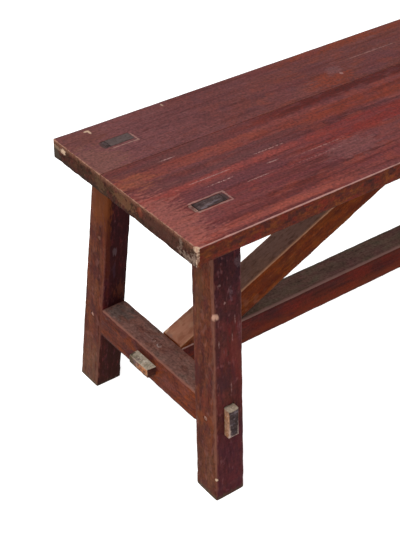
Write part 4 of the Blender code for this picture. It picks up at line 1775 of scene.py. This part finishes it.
@dataclass
class Seat(Assembly):
    """The seat's two boards.

    Args:
        tool: Lowest and highest place of a tool that cuts a mortise.
        bed_lean: How far the lower end of a bed's tool stands outwards.
        courses: Heights at which the boards' edges are cut along.
        sag_top: Height up to which the ends' underside is fuller.
        sags: Where along and across the bench each step of the ends' fuller underside starts.
        sound: Corner that stays sharp, and how far round it.
        dents: Chips of the near end.
    """

    easing: float = 0.0013
    fullness: float = 0.0006
    pitch: float = 0.0055
    insets: Span = (0.0055, 0.0120)
    tool: Span = (0.4219, 0.4505)
    bed_lean: float = 0.0107
    courses: tuple[float, ...] = (0.4265, 0.4305, 0.4365, 0.4425)
    sag_top: float = 0.4240
    sags: tuple[Span, ...] = (
        (0.784, 1.0),
        (0.787, 1.0),
        (0.790, 1.0),
        (0.794, 1.0),
        (0.790, -0.05),
        (0.786, -0.10),
    )
    sound: Triple = (-0.80, 0.1789, 0.015)
    dents: tuple[Dent, ...] = (
        Dent((-0.800, -0.1675, 0.4230), (0.009, 0.012, 0.008), 0.0016),
        Dent((-0.800, -0.1675, 0.4500), (0.008, 0.009, 0.006), 0.0016),
        Dent((-0.800, 0.1400, 0.4370), (0.004, 0.007, 0.006), 0.0012),
    )

    def mortise(self, row: Row, side: Side) -> Piece:
        """Tool for the hole round a leg's tenon and its wedge.

        Args:
            row: The leg's row.
            side: The leg's end of the bench.

        Returns:
            The tool.
        """
        tenon = named("leg", row, side)
        low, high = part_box(named("tenon_wedge", row, side))
        top = Section.of(tenon, SEAT_TOP)
        lean = Section.of(tenon, SHOULDER).x[0] - top.x[0]
        ends = (min(top.x[0], low.x), max(top.x[1], high.x))
        upper = Section(ends, top.y, self.tool[1]).grown(GAP)
        lower = Section((upper.x[0] + lean, upper.x[1] + lean), upper.y, self.tool[0])
        return self.block("mortise_tool", lower, upper)

    def bed(self, side: Side) -> Piece:
        """Tool for a brace's bed in the underside.

        Args:
            side: The brace's end of the bench.

        Returns:
            The tool.
        """
        node = named("brace", side)
        low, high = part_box(node)
        top = Section.of(node, high.z)
        upper = Section(top.x, (low.y, high.y), high.z + GAP).grown(GAP)
        lean = self.bed_lean * side.value
        lower = Section((upper.x[0] + lean, upper.x[1] + lean), upper.y, self.tool[0])
        return self.block("bed_tool", lower, upper)

    def board(self, node: str, row: Row, finishes: Sequence[bpy.types.Material]) -> None:
        """One board, with its worn arrises and its mortises.

        Args:
            node: The frame's node.
            row: The row of legs that stand in it.
            finishes: Its polish, its end grain and its long edge.
        """
        low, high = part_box(node)
        y = (low.y, high.y)
        lower = Section((low.x, high.x), y, low.z)
        upper = replace(lower, z=high.z)
        piece = self.block(node + "_plank", lower, upper)
        index, inwards = INWARDS[0 if row is Row.FRONT else 1]
        outer = y[index]
        with self.editing(piece):
            self.ease(
                piece, self.easing, lambda e: any(abs(v.co.y - outer) < 1e-4 for v in e.verts)
            )
            for inset in self.insets:
                self.slice(Axis.X, low.x + inset, high.x - inset)
                self.slice(Axis.Y, outer + inwards * inset)
            self.slice(Axis.Z, *self.courses)
            if row is Row.FRONT:
                start = outer + self.insets[1]
                self.slice(Axis.Y, *(start + self.step * n for n in range(1, 6)))
            self.rings(piece, Axis.X, self.pitch)
            self.rings(piece, Axis.Y, self.pitch * 1.3)
            for along, front in self.sags:
                self.pick(
                    piece,
                    Kind.VERTEX,
                    lambda v: abs(v.co.x) > along and v.co.y < front and v.co.z < self.sag_top,
                )
                bpy.ops.transform.translate(value=(0.0, 0.0, -self.fullness))
        arrises = [section.sides(Axis.X)[index] for section in (lower, upper)]
        ends = lower.sides(Axis.Y) + upper.sides(Axis.Y)
        ends += long_edges(lower, upper)[index::2]
        *corner, reach = self.sound
        corner_line = (Vector((*corner, low.z)), Vector((*corner, high.z)))
        sound = np.clip(self.distances(piece, [corner_line]) / reach - 1.0, 0.0, 1.0)
        self.wear(piece, sound, 0.0002, 0.05)
        self.wear(piece, self.edge_wear(piece, arrises, 0.005) * sound, 0.0005, 0.012)
        self.wear(piece, self.edge_wear(piece, ends, self.rubbed) * sound, 0.0004, 0.010)
        self.wear(piece, self.edge_wear(piece, ends, self.rubbed) * sound, 0.0012, 0.007, 2.4)
        self.bruise(piece, self.dents)
        for side in Side:
            self.carve(piece, self.mortise(row, side))
        if row is Row.FRONT:
            for side in Side:
                self.carve(piece, self.bed(side))
        self.settle(
            piece,
            node,
            "seat",
            finishes,
            arrises,
            ends,
            lambda f: abs(f.normal.x) > 0.6
            and abs(abs(f.calc_center_median().x) - high.x) < 0.01,
            lambda f: abs(f.normal.y) > 0.3 and abs(f.calc_center_median().y - outer) < 0.004,
        )

    def build(self) -> None:
        """Both boards."""
        for row, polish in ((Row.BACK, BACK_BOARD), (Row.FRONT, FRONT_BOARD)):
            node = named("seat", row) + "_board"
            edge = replace(polish, name="long_edge", gloss=0.04)
            kinds = (polish, SEAT_END, edge)
            self.board(node, row, [kind.on(node, polish.seed) for kind in kinds])


@dataclass
class Legs(Assembly):
    """The four splayed legs, each with its tenon through the seat.

    Args:
        sole: Height up to which a foot's outer face keeps its place.
        rim_easing: Rounding of the foot's rim.
    """

    fullness: float = 0.0015
    insets: Span = (0.0055, 0.0105)
    sole: float = 0.0180
    rim_easing: float = 0.0007

    @staticmethod
    def neck(row: Row, side: Side) -> Section:
        """Section of a leg at its tenon's shoulder.

        Args:
            row: The leg's row.
            side: Its end of the bench.

        Returns:
            The section, from which a back leg's inner face runs straight on up its tenon.
        """
        node = named("leg", row, side)
        neck = Section.of(node, SHOULDER)
        if row is Row.FRONT:
            return neck
        straight = Section.of(node, 0.0).towards(Section.of(node, SEAT_TOP), SHOULDER)
        return replace(neck, y=(straight.y[0], neck.y[1]))

    @staticmethod
    def at(row: Row, side: Side, height: float) -> Section:
        """Section of a leg at a height under the seat."""
        return Section.of(named("leg", row, side), 0.0).towards(Legs.neck(row, side), height)

    def leg(self, row: Row, side: Side) -> None:
        """One leg.

        Args:
            row: Its row.
            side: Its end of the bench.
        """
        node = named("leg", row, side)
        foot, neck, top = Section.of(node, 0.0), self.neck(row, side), Section.of(node, SEAT_TOP)
        outer, cheek = (foot.y[0], 1) if row is Row.FRONT else (foot.y[1], 0)
        shift = neck.y[cheek] - foot.towards(neck, SEAT_TOP).y[cheek]
        root = Section(neck.x, (top.y[0] + shift, top.y[1] + shift), SHOULDER)
        is_top = looking(Axis.Z, 1.0)
        piece = self.block(node + "_post", foot, neck)
        with self.editing(piece):
            for place in root.y:
                if neck.y[0] + NEAR < place < neck.y[1] - NEAR:
                    self.pick(piece, Kind.FACE, is_top)
                    self.split(Axis.Y.at(place), Axis.Y.at(1.0))
            self.pick(piece, Kind.FACE, astride(is_top, Axis.Y, sum(root.y) / 2))
            cheeks = tuple(min(max(y, neck.y[0]), neck.y[1]) for y in root.y)
            self.extrude_to(piece, replace(root, y=cheeks).corners(), top.corners())
            self.ease(piece, self.easing, lambda e: abs(run_of(e).z) > 0.3)
            self.ease(piece, self.rim_easing, lambda e: all(v.co.z < NEAR for v in e.verts))
            self.follow(foot, neck, Axis.X, self.insets)
            self.follow(foot, neck, Axis.Y, self.insets)
            self.rings(piece, Axis.Z, self.pitch)
            self.swell(piece, self.fullness, lambda v: self.sole < v.co.z < SHOULDER - 0.004)
            self.pick(piece, Kind.VERTEX, lambda v: v.co.z <= self.sole)
            wider = 1.0 + 2.0 * self.fullness / (foot.x[1] - foot.x[0])
            deeper = 1.0 + self.fullness / (foot.y[1] - foot.y[0])
            bpy.ops.transform.resize(
                value=(wider, deeper, 1.0), center_override=(sum(foot.x) / 2, outer, 0.0)
            )
        arrises, rim = long_edges(foot, neck), ring(foot.corners())
        self.weather(piece, arrises, (self.rows(piece)[:, 2] < SHOULDER - 0.001) * 1.0)
        self.wear(piece, self.edge_wear(piece, rim, 0.007), 0.0005, 0.008, 1.5)
        self.bruise(piece, LEG_DENTS.get(node, ()))
        self.cut_joint(piece, row, side)
        seed = LEG_SEEDS[node]
        self.settle(
            piece,
            node,
            "leg",
            (
                LEG.on(node, seed, *LEG_MARKS.get(node, ())),
                LEG_TENON.on(node, seed, *TENON_MARKS.get(node, ())),
            ),
            arrises[::2] + ring(top.corners()),
            rim,
            lambda f: f.calc_center_median().z > SHOULDER + 0.02,
        )

    def cut_joint(self, piece: Piece, row: Row, side: Side) -> None:
        """Cut a leg's mortise and its peg's hole.

        Args:
            piece: The leg.
            row: Its row.
            side: Its end of the bench.
        """
        low, high = Underframe.tenon(side)
        y = (-0.3, 0.0) if row is Row.FRONT else (0.0, 0.3)
        lower = Section(low.grown(GAP).x, y, low.z - GAP)
        upper = Section(high.grown(GAP).x, y, high.z + GAP)
        self.carve(piece, self.block("mortise_tool", lower, upper))
        self.drill(piece, named("leg_peg", row, side), OVERRUN, OVERRUN)

    def build(self) -> None:
        """All four legs."""
        for side in Side:
            for row in Row:
                self.leg(row, side)


@dataclass
class Underframe(Assembly):
    """End stretchers, long stretcher and braces.

    Args:
        rail_top: Top of an end stretcher.
        rail_low: Underside of an end stretcher.
        rail_width: Width of an end stretcher.
        blade: Heights of the long stretcher's flat tenon.
        hole: How far the near hole round that tenon reaches across the bench.
        skew: Sideways lean of the long stretcher's near tip.
        reach: How much further out that tip stands.
        droop: How far that tip's underside comes down.
        slump: How far the end stretchers' tips are worn down.
        step: Distance between the cuts near a tip.
        rail_dents: Chips of the near end stretcher.
        tip_dents: Chips of the long stretcher's near tip.
    """

    fullness: float = 0.0014
    rail_top: float = 0.1572
    rail_low: float = 0.1100
    rail_width: float = 0.0418
    blade: Span = (0.129, 0.143)
    hole: Span = (-0.0212, 0.0257)
    skew: float = 0.0027
    reach: float = 0.0035
    droop: float = 0.0010
    slump: float = 0.0030
    step: float = 0.0040
    rail_dents: tuple[Dent, ...] = (
        Dent((-0.7560, -0.1650, 0.1560), (0.010, 0.010, 0.010), 0.0035),
    )
    tip_dents: tuple[Dent, ...] = (
        Dent((-0.7760, 0.0280, 0.1440), (0.010, 0.010, 0.008), 0.0035),
    )

    @staticmethod
    def outer_face(side: Side, height: float) -> float:
        """Place along the bench of an end stretcher's outer face."""
        return Legs.at(Row.FRONT, side, height).x[0 if side is Side.LEFT else 1]

    @staticmethod
    def slab(side: Side, height: float, setback: float, width: float, y: Span) -> Section:
        """Section of what lies behind an end stretcher's outer face.

        Args:
            side: The end stretcher's end of the bench.
            height: Height of the section.
            setback: How far behind the outer face it starts.
            width: How far it goes on from there.
            y: Its span across the bench.

        Returns:
            The section.
        """
        outer = Underframe.outer_face(side, height) - side.value * setback
        inner = outer - side.value * width
        return Section((min(outer, inner), max(outer, inner)), y, height)

    @staticmethod
    def tenon(side: Side) -> list[Section]:
        """Lower and upper section of the end stretcher's tenon, without its reach.

        Args:
            side: The end stretcher's end of the bench.

        Returns:
            Both sections.
        """
        setback, thickness = 0.0138, 0.0178
        heights = (Underframe.rail_low, Underframe.rail_top)
        return [Underframe.slab(side, z, setback, thickness, (0.0, 0.0)) for z in heights]

    def rail_section(self, side: Side, height: float) -> Section:
        """Section of an end stretcher between its legs.

        Args:
            side: Its end of the bench.
            height: Height of the section.

        Returns:
            The section.
        """
        front, back = (Legs.at(row, side, height) for row in Row)
        y = (front.y[1] + GAP, back.y[0] - GAP)
        return self.slab(side, height, 0.0, self.rail_width, y)

    def end_stretcher(self, side: Side) -> None:
        """Rail between two legs, with a battered tenon through each.

        Args:
            side: Its end of the bench.
        """
        node = named("end_stretcher", side)
        low, high = (self.rail_section(side, z) for z in (self.rail_low, self.rail_top))
        tenon = self.tenon(side)
        tips_y = [corner.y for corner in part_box(node)]
        cheek = square_to(tenon[0].corners()[0], tenon[1].corners()[0], Axis.X)
        piece = self.block(node + "_rail", low, high)
        with self.editing(piece):
            for index, tip_y in enumerate(tips_y):
                is_end = looking(Axis.Y, -INWARDS[index][1])
                for start, end in long_edges(*tenon)[::2]:
                    self.pick(piece, Kind.FACE, is_end)
                    self.split(start, square_to(start, end, Axis.X))
                middle = sum(tenon[0].x + tenon[1].x) / 4
                self.pick(piece, Kind.FACE, astride(is_end, Axis.X, middle))
                root = [
                    Vector((x, whole.y[index], whole.z))
                    for whole, part in zip((low, high), tenon)
                    for x in part.x
                ]
                slope = (high.y[index] - low.y[index]) / (high.z - low.z)
                tip = []
                for point in root:
                    y = tip_y + slope * (point.z - low.z)
                    sink = self.slump * (point.z > 0.130)
                    tip.append(Vector((point.x, y, point.z - sink)))
                self.extrude_to(piece, root, tip)
            self.ease(piece, self.easing, lambda e: abs(run_of(e).y) > 0.1)
            self.ease(
                piece,
                0.0030,
                lambda e: len(e.link_faces) == 2
                and all(min(abs(v.co.y - y) for y in tips_y) < 0.007 for v in e.verts),
            )
            start, width = tenon[0].corners()[0], tenon[0].x[1] - tenon[0].x[0]
            self.score([start + Axis.X.at(width * share) for share in (0.25, 0.5, 0.75)], cheek)
            self.slice(Axis.Z, *(self.rail_low + 0.0055 * n for n in range(1, 9)))
            self.follow(low, high, Axis.X, self.insets)
            for n in range(1, 4):
                self.slice(Axis.Y, tips_y[0] + self.step * n, tips_y[1] - self.step * n)
            self.rings(piece, Axis.Y, self.pitch)
            self.swell(
                piece, self.fullness, lambda v: low.y[0] + 0.004 < v.co.y < low.y[1] - 0.004
            )
        lines = low.sides(Axis.Y) + high.sides(Axis.Y)
        tips = [
            edge
            for y in tips_y
            for edge in ring([Vector((x, y, part.z)) for part in tenon for x in part.x])
        ]
        across = self.rows(piece)[:, 1]
        between = (across > low.y[0] - 0.001) & (across < high.y[1] + 0.001)
        self.weather(piece, lines, between * 1.0)
        self.wear(piece, self.edge_wear(piece, tips, self.rubbed), 0.0011, 0.006, 1.3)
        self.bruise(piece, self.rail_dents)
        self.cut_rail(piece, side)
        seed = 6.0 + side.value
        self.settle(
            piece,
            node,
            "stretcher",
            (RAIL.on(node, seed), END_TENON.on(node, seed)),
            lines + tips,
            long_edges(low, high),
            lambda f: not low.y[0] - 0.02 < f.calc_center_median().y < low.y[1] + 0.02,
        )

    def cut_rail(self, piece: Piece, side: Side) -> None:
        """Cut an end stretcher's mortise, and the holes of pegs and pins.

        Args:
            piece: The end stretcher.
            side: Its end of the bench.
        """
        outer = self.outer_face(side, sum(self.blade) / 2)
        x = sorted((outer + side.value * 0.01, outer - side.value * (self.rail_width + 0.01)))
        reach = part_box("long_stretcher")[1].y + GAP
        y = self.hole if side is Side.LEFT else (-reach, reach)
        lower = Section((x[0], x[1]), y, self.blade[0] - GAP)
        upper = replace(lower, z=self.blade[1] + GAP)
        self.carve(piece, self.block("mortise_tool", lower, upper))
        for row in Row:
            self.drill(piece, named("leg_peg", row, side), OVERRUN, OVERRUN)
            self.drill(piece, named("tenon_pin", row, side), GAP, OVERRUN)

    def long_stretcher(self) -> None:
        """Rail along the bench, with a flat tenon through each end stretcher."""
        node = "long_stretcher"
        box_low, box_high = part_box(node)
        y = (box_low.y, box_high.y)
        low, high = (
            Section((-shoulder, shoulder), y, z)
            for z in (box_low.z, box_high.z)
            for shoulder in [self.outer_face(Side.RIGHT, z) - self.rail_width - GAP]
        )
        tips_x = (box_low.x - self.reach, box_high.x)
        shifts, sinks = (self.skew, 0.0), (self.droop, 0.0)
        piece = self.block(node + "_rail", low, high)
        with self.editing(piece):
            for index, tip_x in enumerate(tips_x):
                is_end = looking(Axis.X, -INWARDS[index][1])
                for height in self.blade:
                    self.pick(piece, Kind.FACE, is_end)
                    self.split(Axis.Z.at(height), Axis.Z.at(1.0))
                self.pick(piece, Kind.FACE, astride(is_end, Axis.Z, sum(self.blade) / 2))
                root = [
                    Vector((low.towards(high, z).x[index], place, z))
                    for z in self.blade
                    for place in y
                ]
                heights = (self.blade[0] - sinks[index], self.blade[1])
                tip = [Vector((tip_x, place + shifts[index], z)) for z in heights for place in y]
                self.extrude_to(piece, root, tip)
            self.ease(piece, self.easing, lambda e: abs(run_of(e).x) > 0.5)
            self.ease(
                piece, 0.0012, lambda e: all(abs(v.co.x) > box_high.x - 1e-4 for v in e.verts)
            )
            self.follow(low, high, Axis.Y, self.insets)
            for inset in self.insets:
                self.slice(Axis.Z, low.z + inset, high.z - inset)
            self.slice(Axis.Z, 0.1325, 0.136, 0.1395)
            for n in range(4):
                self.slice(Axis.X, box_low.x + self.step * n, box_high.x - self.step * n)
            self.rings(piece, Axis.X, self.pitch * 1.2)
            self.rings(piece, Axis.Y, 0.008)
            self.swell(piece, self.fullness, lambda v: abs(v.co.x) < high.x[1] - 0.002)
        lines = low.sides(Axis.X) + high.sides(Axis.X)
        tips = [
            edge
            for x, shift in zip(tips_x, shifts)
            for edge in ring([Vector((x, place + shift, z)) for z in self.blade for place in y])
        ]
        self.weather(piece, lines, (np.abs(self.rows(piece)[:, 0]) < high.x[1]) * 1.0)
        self.wear(piece, self.edge_wear(piece, tips, self.rubbed), 0.0014, 0.006, 1.3)
        self.bruise(piece, self.tip_dents)
        for side in Side:
            for row in Row:
                self.drill(piece, named("tenon_pin", row, side), 0.01, 0.01)
        self.settle(
            piece,
            node,
            "stretcher",
            (LONG_RAIL.on(node, 9.0), LONG_TENON.on(node, 15.0)),
            lines + tips,
            (),
            lambda f: abs(f.calc_center_median().x) > 0.745,
        )

    def brace(self, side: Side) -> None:
        """Sloping bar from the stretchers' corner up to the seat.

        Args:
            side: Its end of the bench.
        """
        node = named("brace", side)
        box_low, box_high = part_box(node)
        bottom, top = Section.of(node, box_low.z), Section.of(node, box_high.z)
        width = top.x[1] - top.x[0]
        if side is Side.LEFT:
            foot, nose = (bottom.x[1] - width, bottom.x[1]), box_low.x
        else:
            foot, nose = (bottom.x[0], bottom.x[0] + width), box_high.x
        y = (box_low.y, box_high.y)
        low, high = Section(foot, y, box_low.z), Section(top.x, y, box_high.z)
        corner, head = (Vector((s.x[0], 0.0, s.z)) for s in (low, high))
        run = Vector((high.x[0] - low.x[0], 0.0, high.z - low.z))
        along = run.normalized()
        piece = self.block(node + "_bar", low, high)
        with self.editing(piece):
            bpy.ops.mesh.select_all(action="SELECT")
            bpy.ops.mesh.bisect(
                plane_co=(nose, 0.0, 0.0),
                plane_no=(float(side.value), 0.0, 0.0),
                use_fill=True,
                clear_outer=True,
            )
            self.ease(piece, self.easing, lambda e: run_of(e).length > 0.3)
            self.follow(low, high, Axis.Y, self.insets)
            self.follow(low, high, Axis.X, [inset / along.z for inset in self.insets])
            pitch = self.pitch * 1.1
            count = int((high.z - low.z) / (pitch * abs(along.z)))
            self.score([corner + run * (n / count) for n in range(1, count)], along)
            over = (low.x[1] - low.x[0]) * along.x
            base = head if over > 0.0 else corner
            steps = [math.copysign(pitch * n, over) for n in range(1, int(abs(over) / pitch))]
            self.score([base + along * step for step in steps], along)
        lines = long_edges(low, high)
        self.weather(piece, lines)
        timber = replace(BRACE, fibre=(0.0, -math.atan2(run.z, run.x), 0.0))
        marks = BRACE_MARKS if side is Side.LEFT else ()
        self.settle(piece, node, "brace", (timber.on(node, 12.0 + side.value, *marks),), lines)

    def build(self) -> None:
        """Every timber under the seat, apart from the legs."""
        self.long_stretcher()
        for side in Side:
            self.end_stretcher(side)
            self.brace(side)


@dataclass
class Fastenings(Assembly):
    """Wedges in the seat, pegs in the legs and pins in the end stretchers.

    Args:
        proud: How far a peg's ends come out to the timbers' fuller faces.
        turns: Shares of a peg's radius at which its heads have their inner rings.
    """

    proud: float = 0.0009
    turns: Span = (0.22, 0.35)

    def wedge(self, row: Row, side: Side, finish: bpy.types.Material) -> None:
        """Wedge beside a leg's tenon.

        Args:
            row: The leg's row.
            side: The leg's end of the bench.
            finish: The end grain.
        """
        node = named("tenon_wedge", row, side)
        lower, upper = (Section.of(node, corner.z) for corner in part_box(node))
        piece = self.block(node + "_head", lower, upper)
        with self.editing(piece):
            self.ease(piece, 0.0005, lambda e: all(v.co.z > upper.z - 1e-4 for v in e.verts))
            self.slice(Axis.Z, upper.z - 0.003)
            self.rings(piece, Axis.Y, 0.0025)
        self.wear(piece, (self.rows(piece)[:, 2] > upper.z - 0.002) * 1.0, 0.0008, 0.006)
        self.settle(piece, node, "end_grain", (finish,), ring(upper.corners()))

    def peg(self, node: str, before: float, finish: bpy.types.Material) -> None:
        """Round peg or pin, with its head's arris taken off.

        Args:
            node: The frame's node.
            before: How far it starts before its node.
            finish: The end grain.
        """
        start, end, radius = self.core(node, before, self.proud)
        along = (end - start).normalized()
        piece = self.plug(node + "_head", start, end, radius)
        with self.editing(piece):
            self.pick(piece, Kind.FACE, lambda f: abs(f.normal.dot(along)) > 0.9)
            for turn in self.turns:
                bpy.ops.mesh.inset(thickness=radius * turn, depth=0.0)
            self.ease(piece, 0.0006, lambda e: e.calc_face_angle(0.0) > 1.2)
        self.wear(piece, np.ones(len(piece.data.vertices)), 0.0003, 0.004)
        self.settle(piece, node, "end_grain", (finish,), ())

    def build(self) -> None:
        """Every wedge, peg and pin."""
        peg, pin = PEG.on("peg", 24.0), PALE_WEDGE.on("pin", 25.0)
        for row, polish in ((Row.FRONT, PALE_WEDGE), (Row.BACK, WEDGE)):
            wedge = polish.on(row.name.lower(), 21.0)
            for side in Side:
                self.wedge(row, side, wedge)
                self.peg(named("leg_peg", row, side), self.proud, peg)
                self.peg(named("tenon_pin", row, side), 0.0, pin)


@dataclass
class Studio:
    """Pale floor, soft light and the camera.

    Args:
        eye: Place of the camera.
        turn: Its rotation.
        lens: Its focal length in millimetres.
        sky: Brightness of the surroundings.
        key: Power of the large lamp in watts.
    """

    eye: Triple = (-1.58392, -1.18064, 1.34459)
    turn: Triple = (0.94763, -0.013244, -0.651253)
    lens: float = 86.06
    sky: float = 0.72
    key: float = 85.0

    def floor(self) -> None:
        """Pale floor that fills the view."""
        bpy.ops.object.select_all(action="DESELECT")
        bpy.ops.mesh.primitive_plane_add(size=40.0, location=(0.0, 0.0, -0.0002))
        floor = bpy.context.object
        floor.name = "studio_floor"
        recipe = Recipe("floor_paper", 0.0)
        grain = recipe.cloud(recipe.place, (3.0, 3.0), 1.0, 1.0)
        tones = (tint((206, 206, 206)), tint((208, 208, 208)))
        recipe.feed("Base Color", recipe.over(*tones, grain))
        recipe.shader.inputs["Roughness"].default_value = 0.9
        recipe.shader.inputs["Emission Color"].default_value = (1.0, 1.0, 1.0, 1.0)
        recipe.shader.inputs["Emission Strength"].default_value = 0.8
        floor.data.materials.append(recipe.material)

    def light(self) -> None:
        """Even surroundings and one large lamp above the near end."""
        scene = bpy.context.scene
        world = bpy.data.worlds.new("studio_sky")
        world.use_nodes = True
        background = world.node_tree.nodes["Background"]
        background.inputs["Color"].default_value = (1.0, 1.0, 1.0, 1.0)
        background.inputs["Strength"].default_value = self.sky
        scene.world = world
        scene.view_settings.view_transform = "Standard"
        place, aim = Vector((-1.9, -0.3, 2.9)), Vector((-0.4, 0.0, 0.2))
        bpy.ops.object.light_add(type="AREA", location=place)
        lamp = bpy.context.object
        lamp.name = "key_lamp"
        lamp.data.shape = "RECTANGLE"
        lamp.data.size = 2.4
        lamp.data.size_y = 2.4
        lamp.data.energy = self.key
        lamp.rotation_euler = (aim - place).to_track_quat("-Z", "Y").to_euler()

    def camera(self) -> None:
        """Camera at the photograph's angle."""
        bpy.ops.object.camera_add(location=self.eye, rotation=Euler(self.turn))
        camera = bpy.context.object
        camera.name = "photo_camera"
        camera.data.lens = self.lens
        camera.data.sensor_width = 36.0
        bpy.context.scene.camera = camera

    def build(self) -> None:
        """Floor, light and camera."""
        self.floor()
        self.light()
        self.camera()


def main() -> None:
    """Build the studio and every sub-assembly in order."""
    logging.basicConfig(level=logging.INFO, format="%(message)s")
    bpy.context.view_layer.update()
    Studio().build()
    for assembly in (Seat(), Legs(), Underframe(), Fastenings()):
        assembly.build()
        log.info("%s: %d pieces", type(assembly).__name__, len(assembly.made))
    bpy.ops.object.select_all(action="DESELECT")


if __name__ == "__main__":
    main()
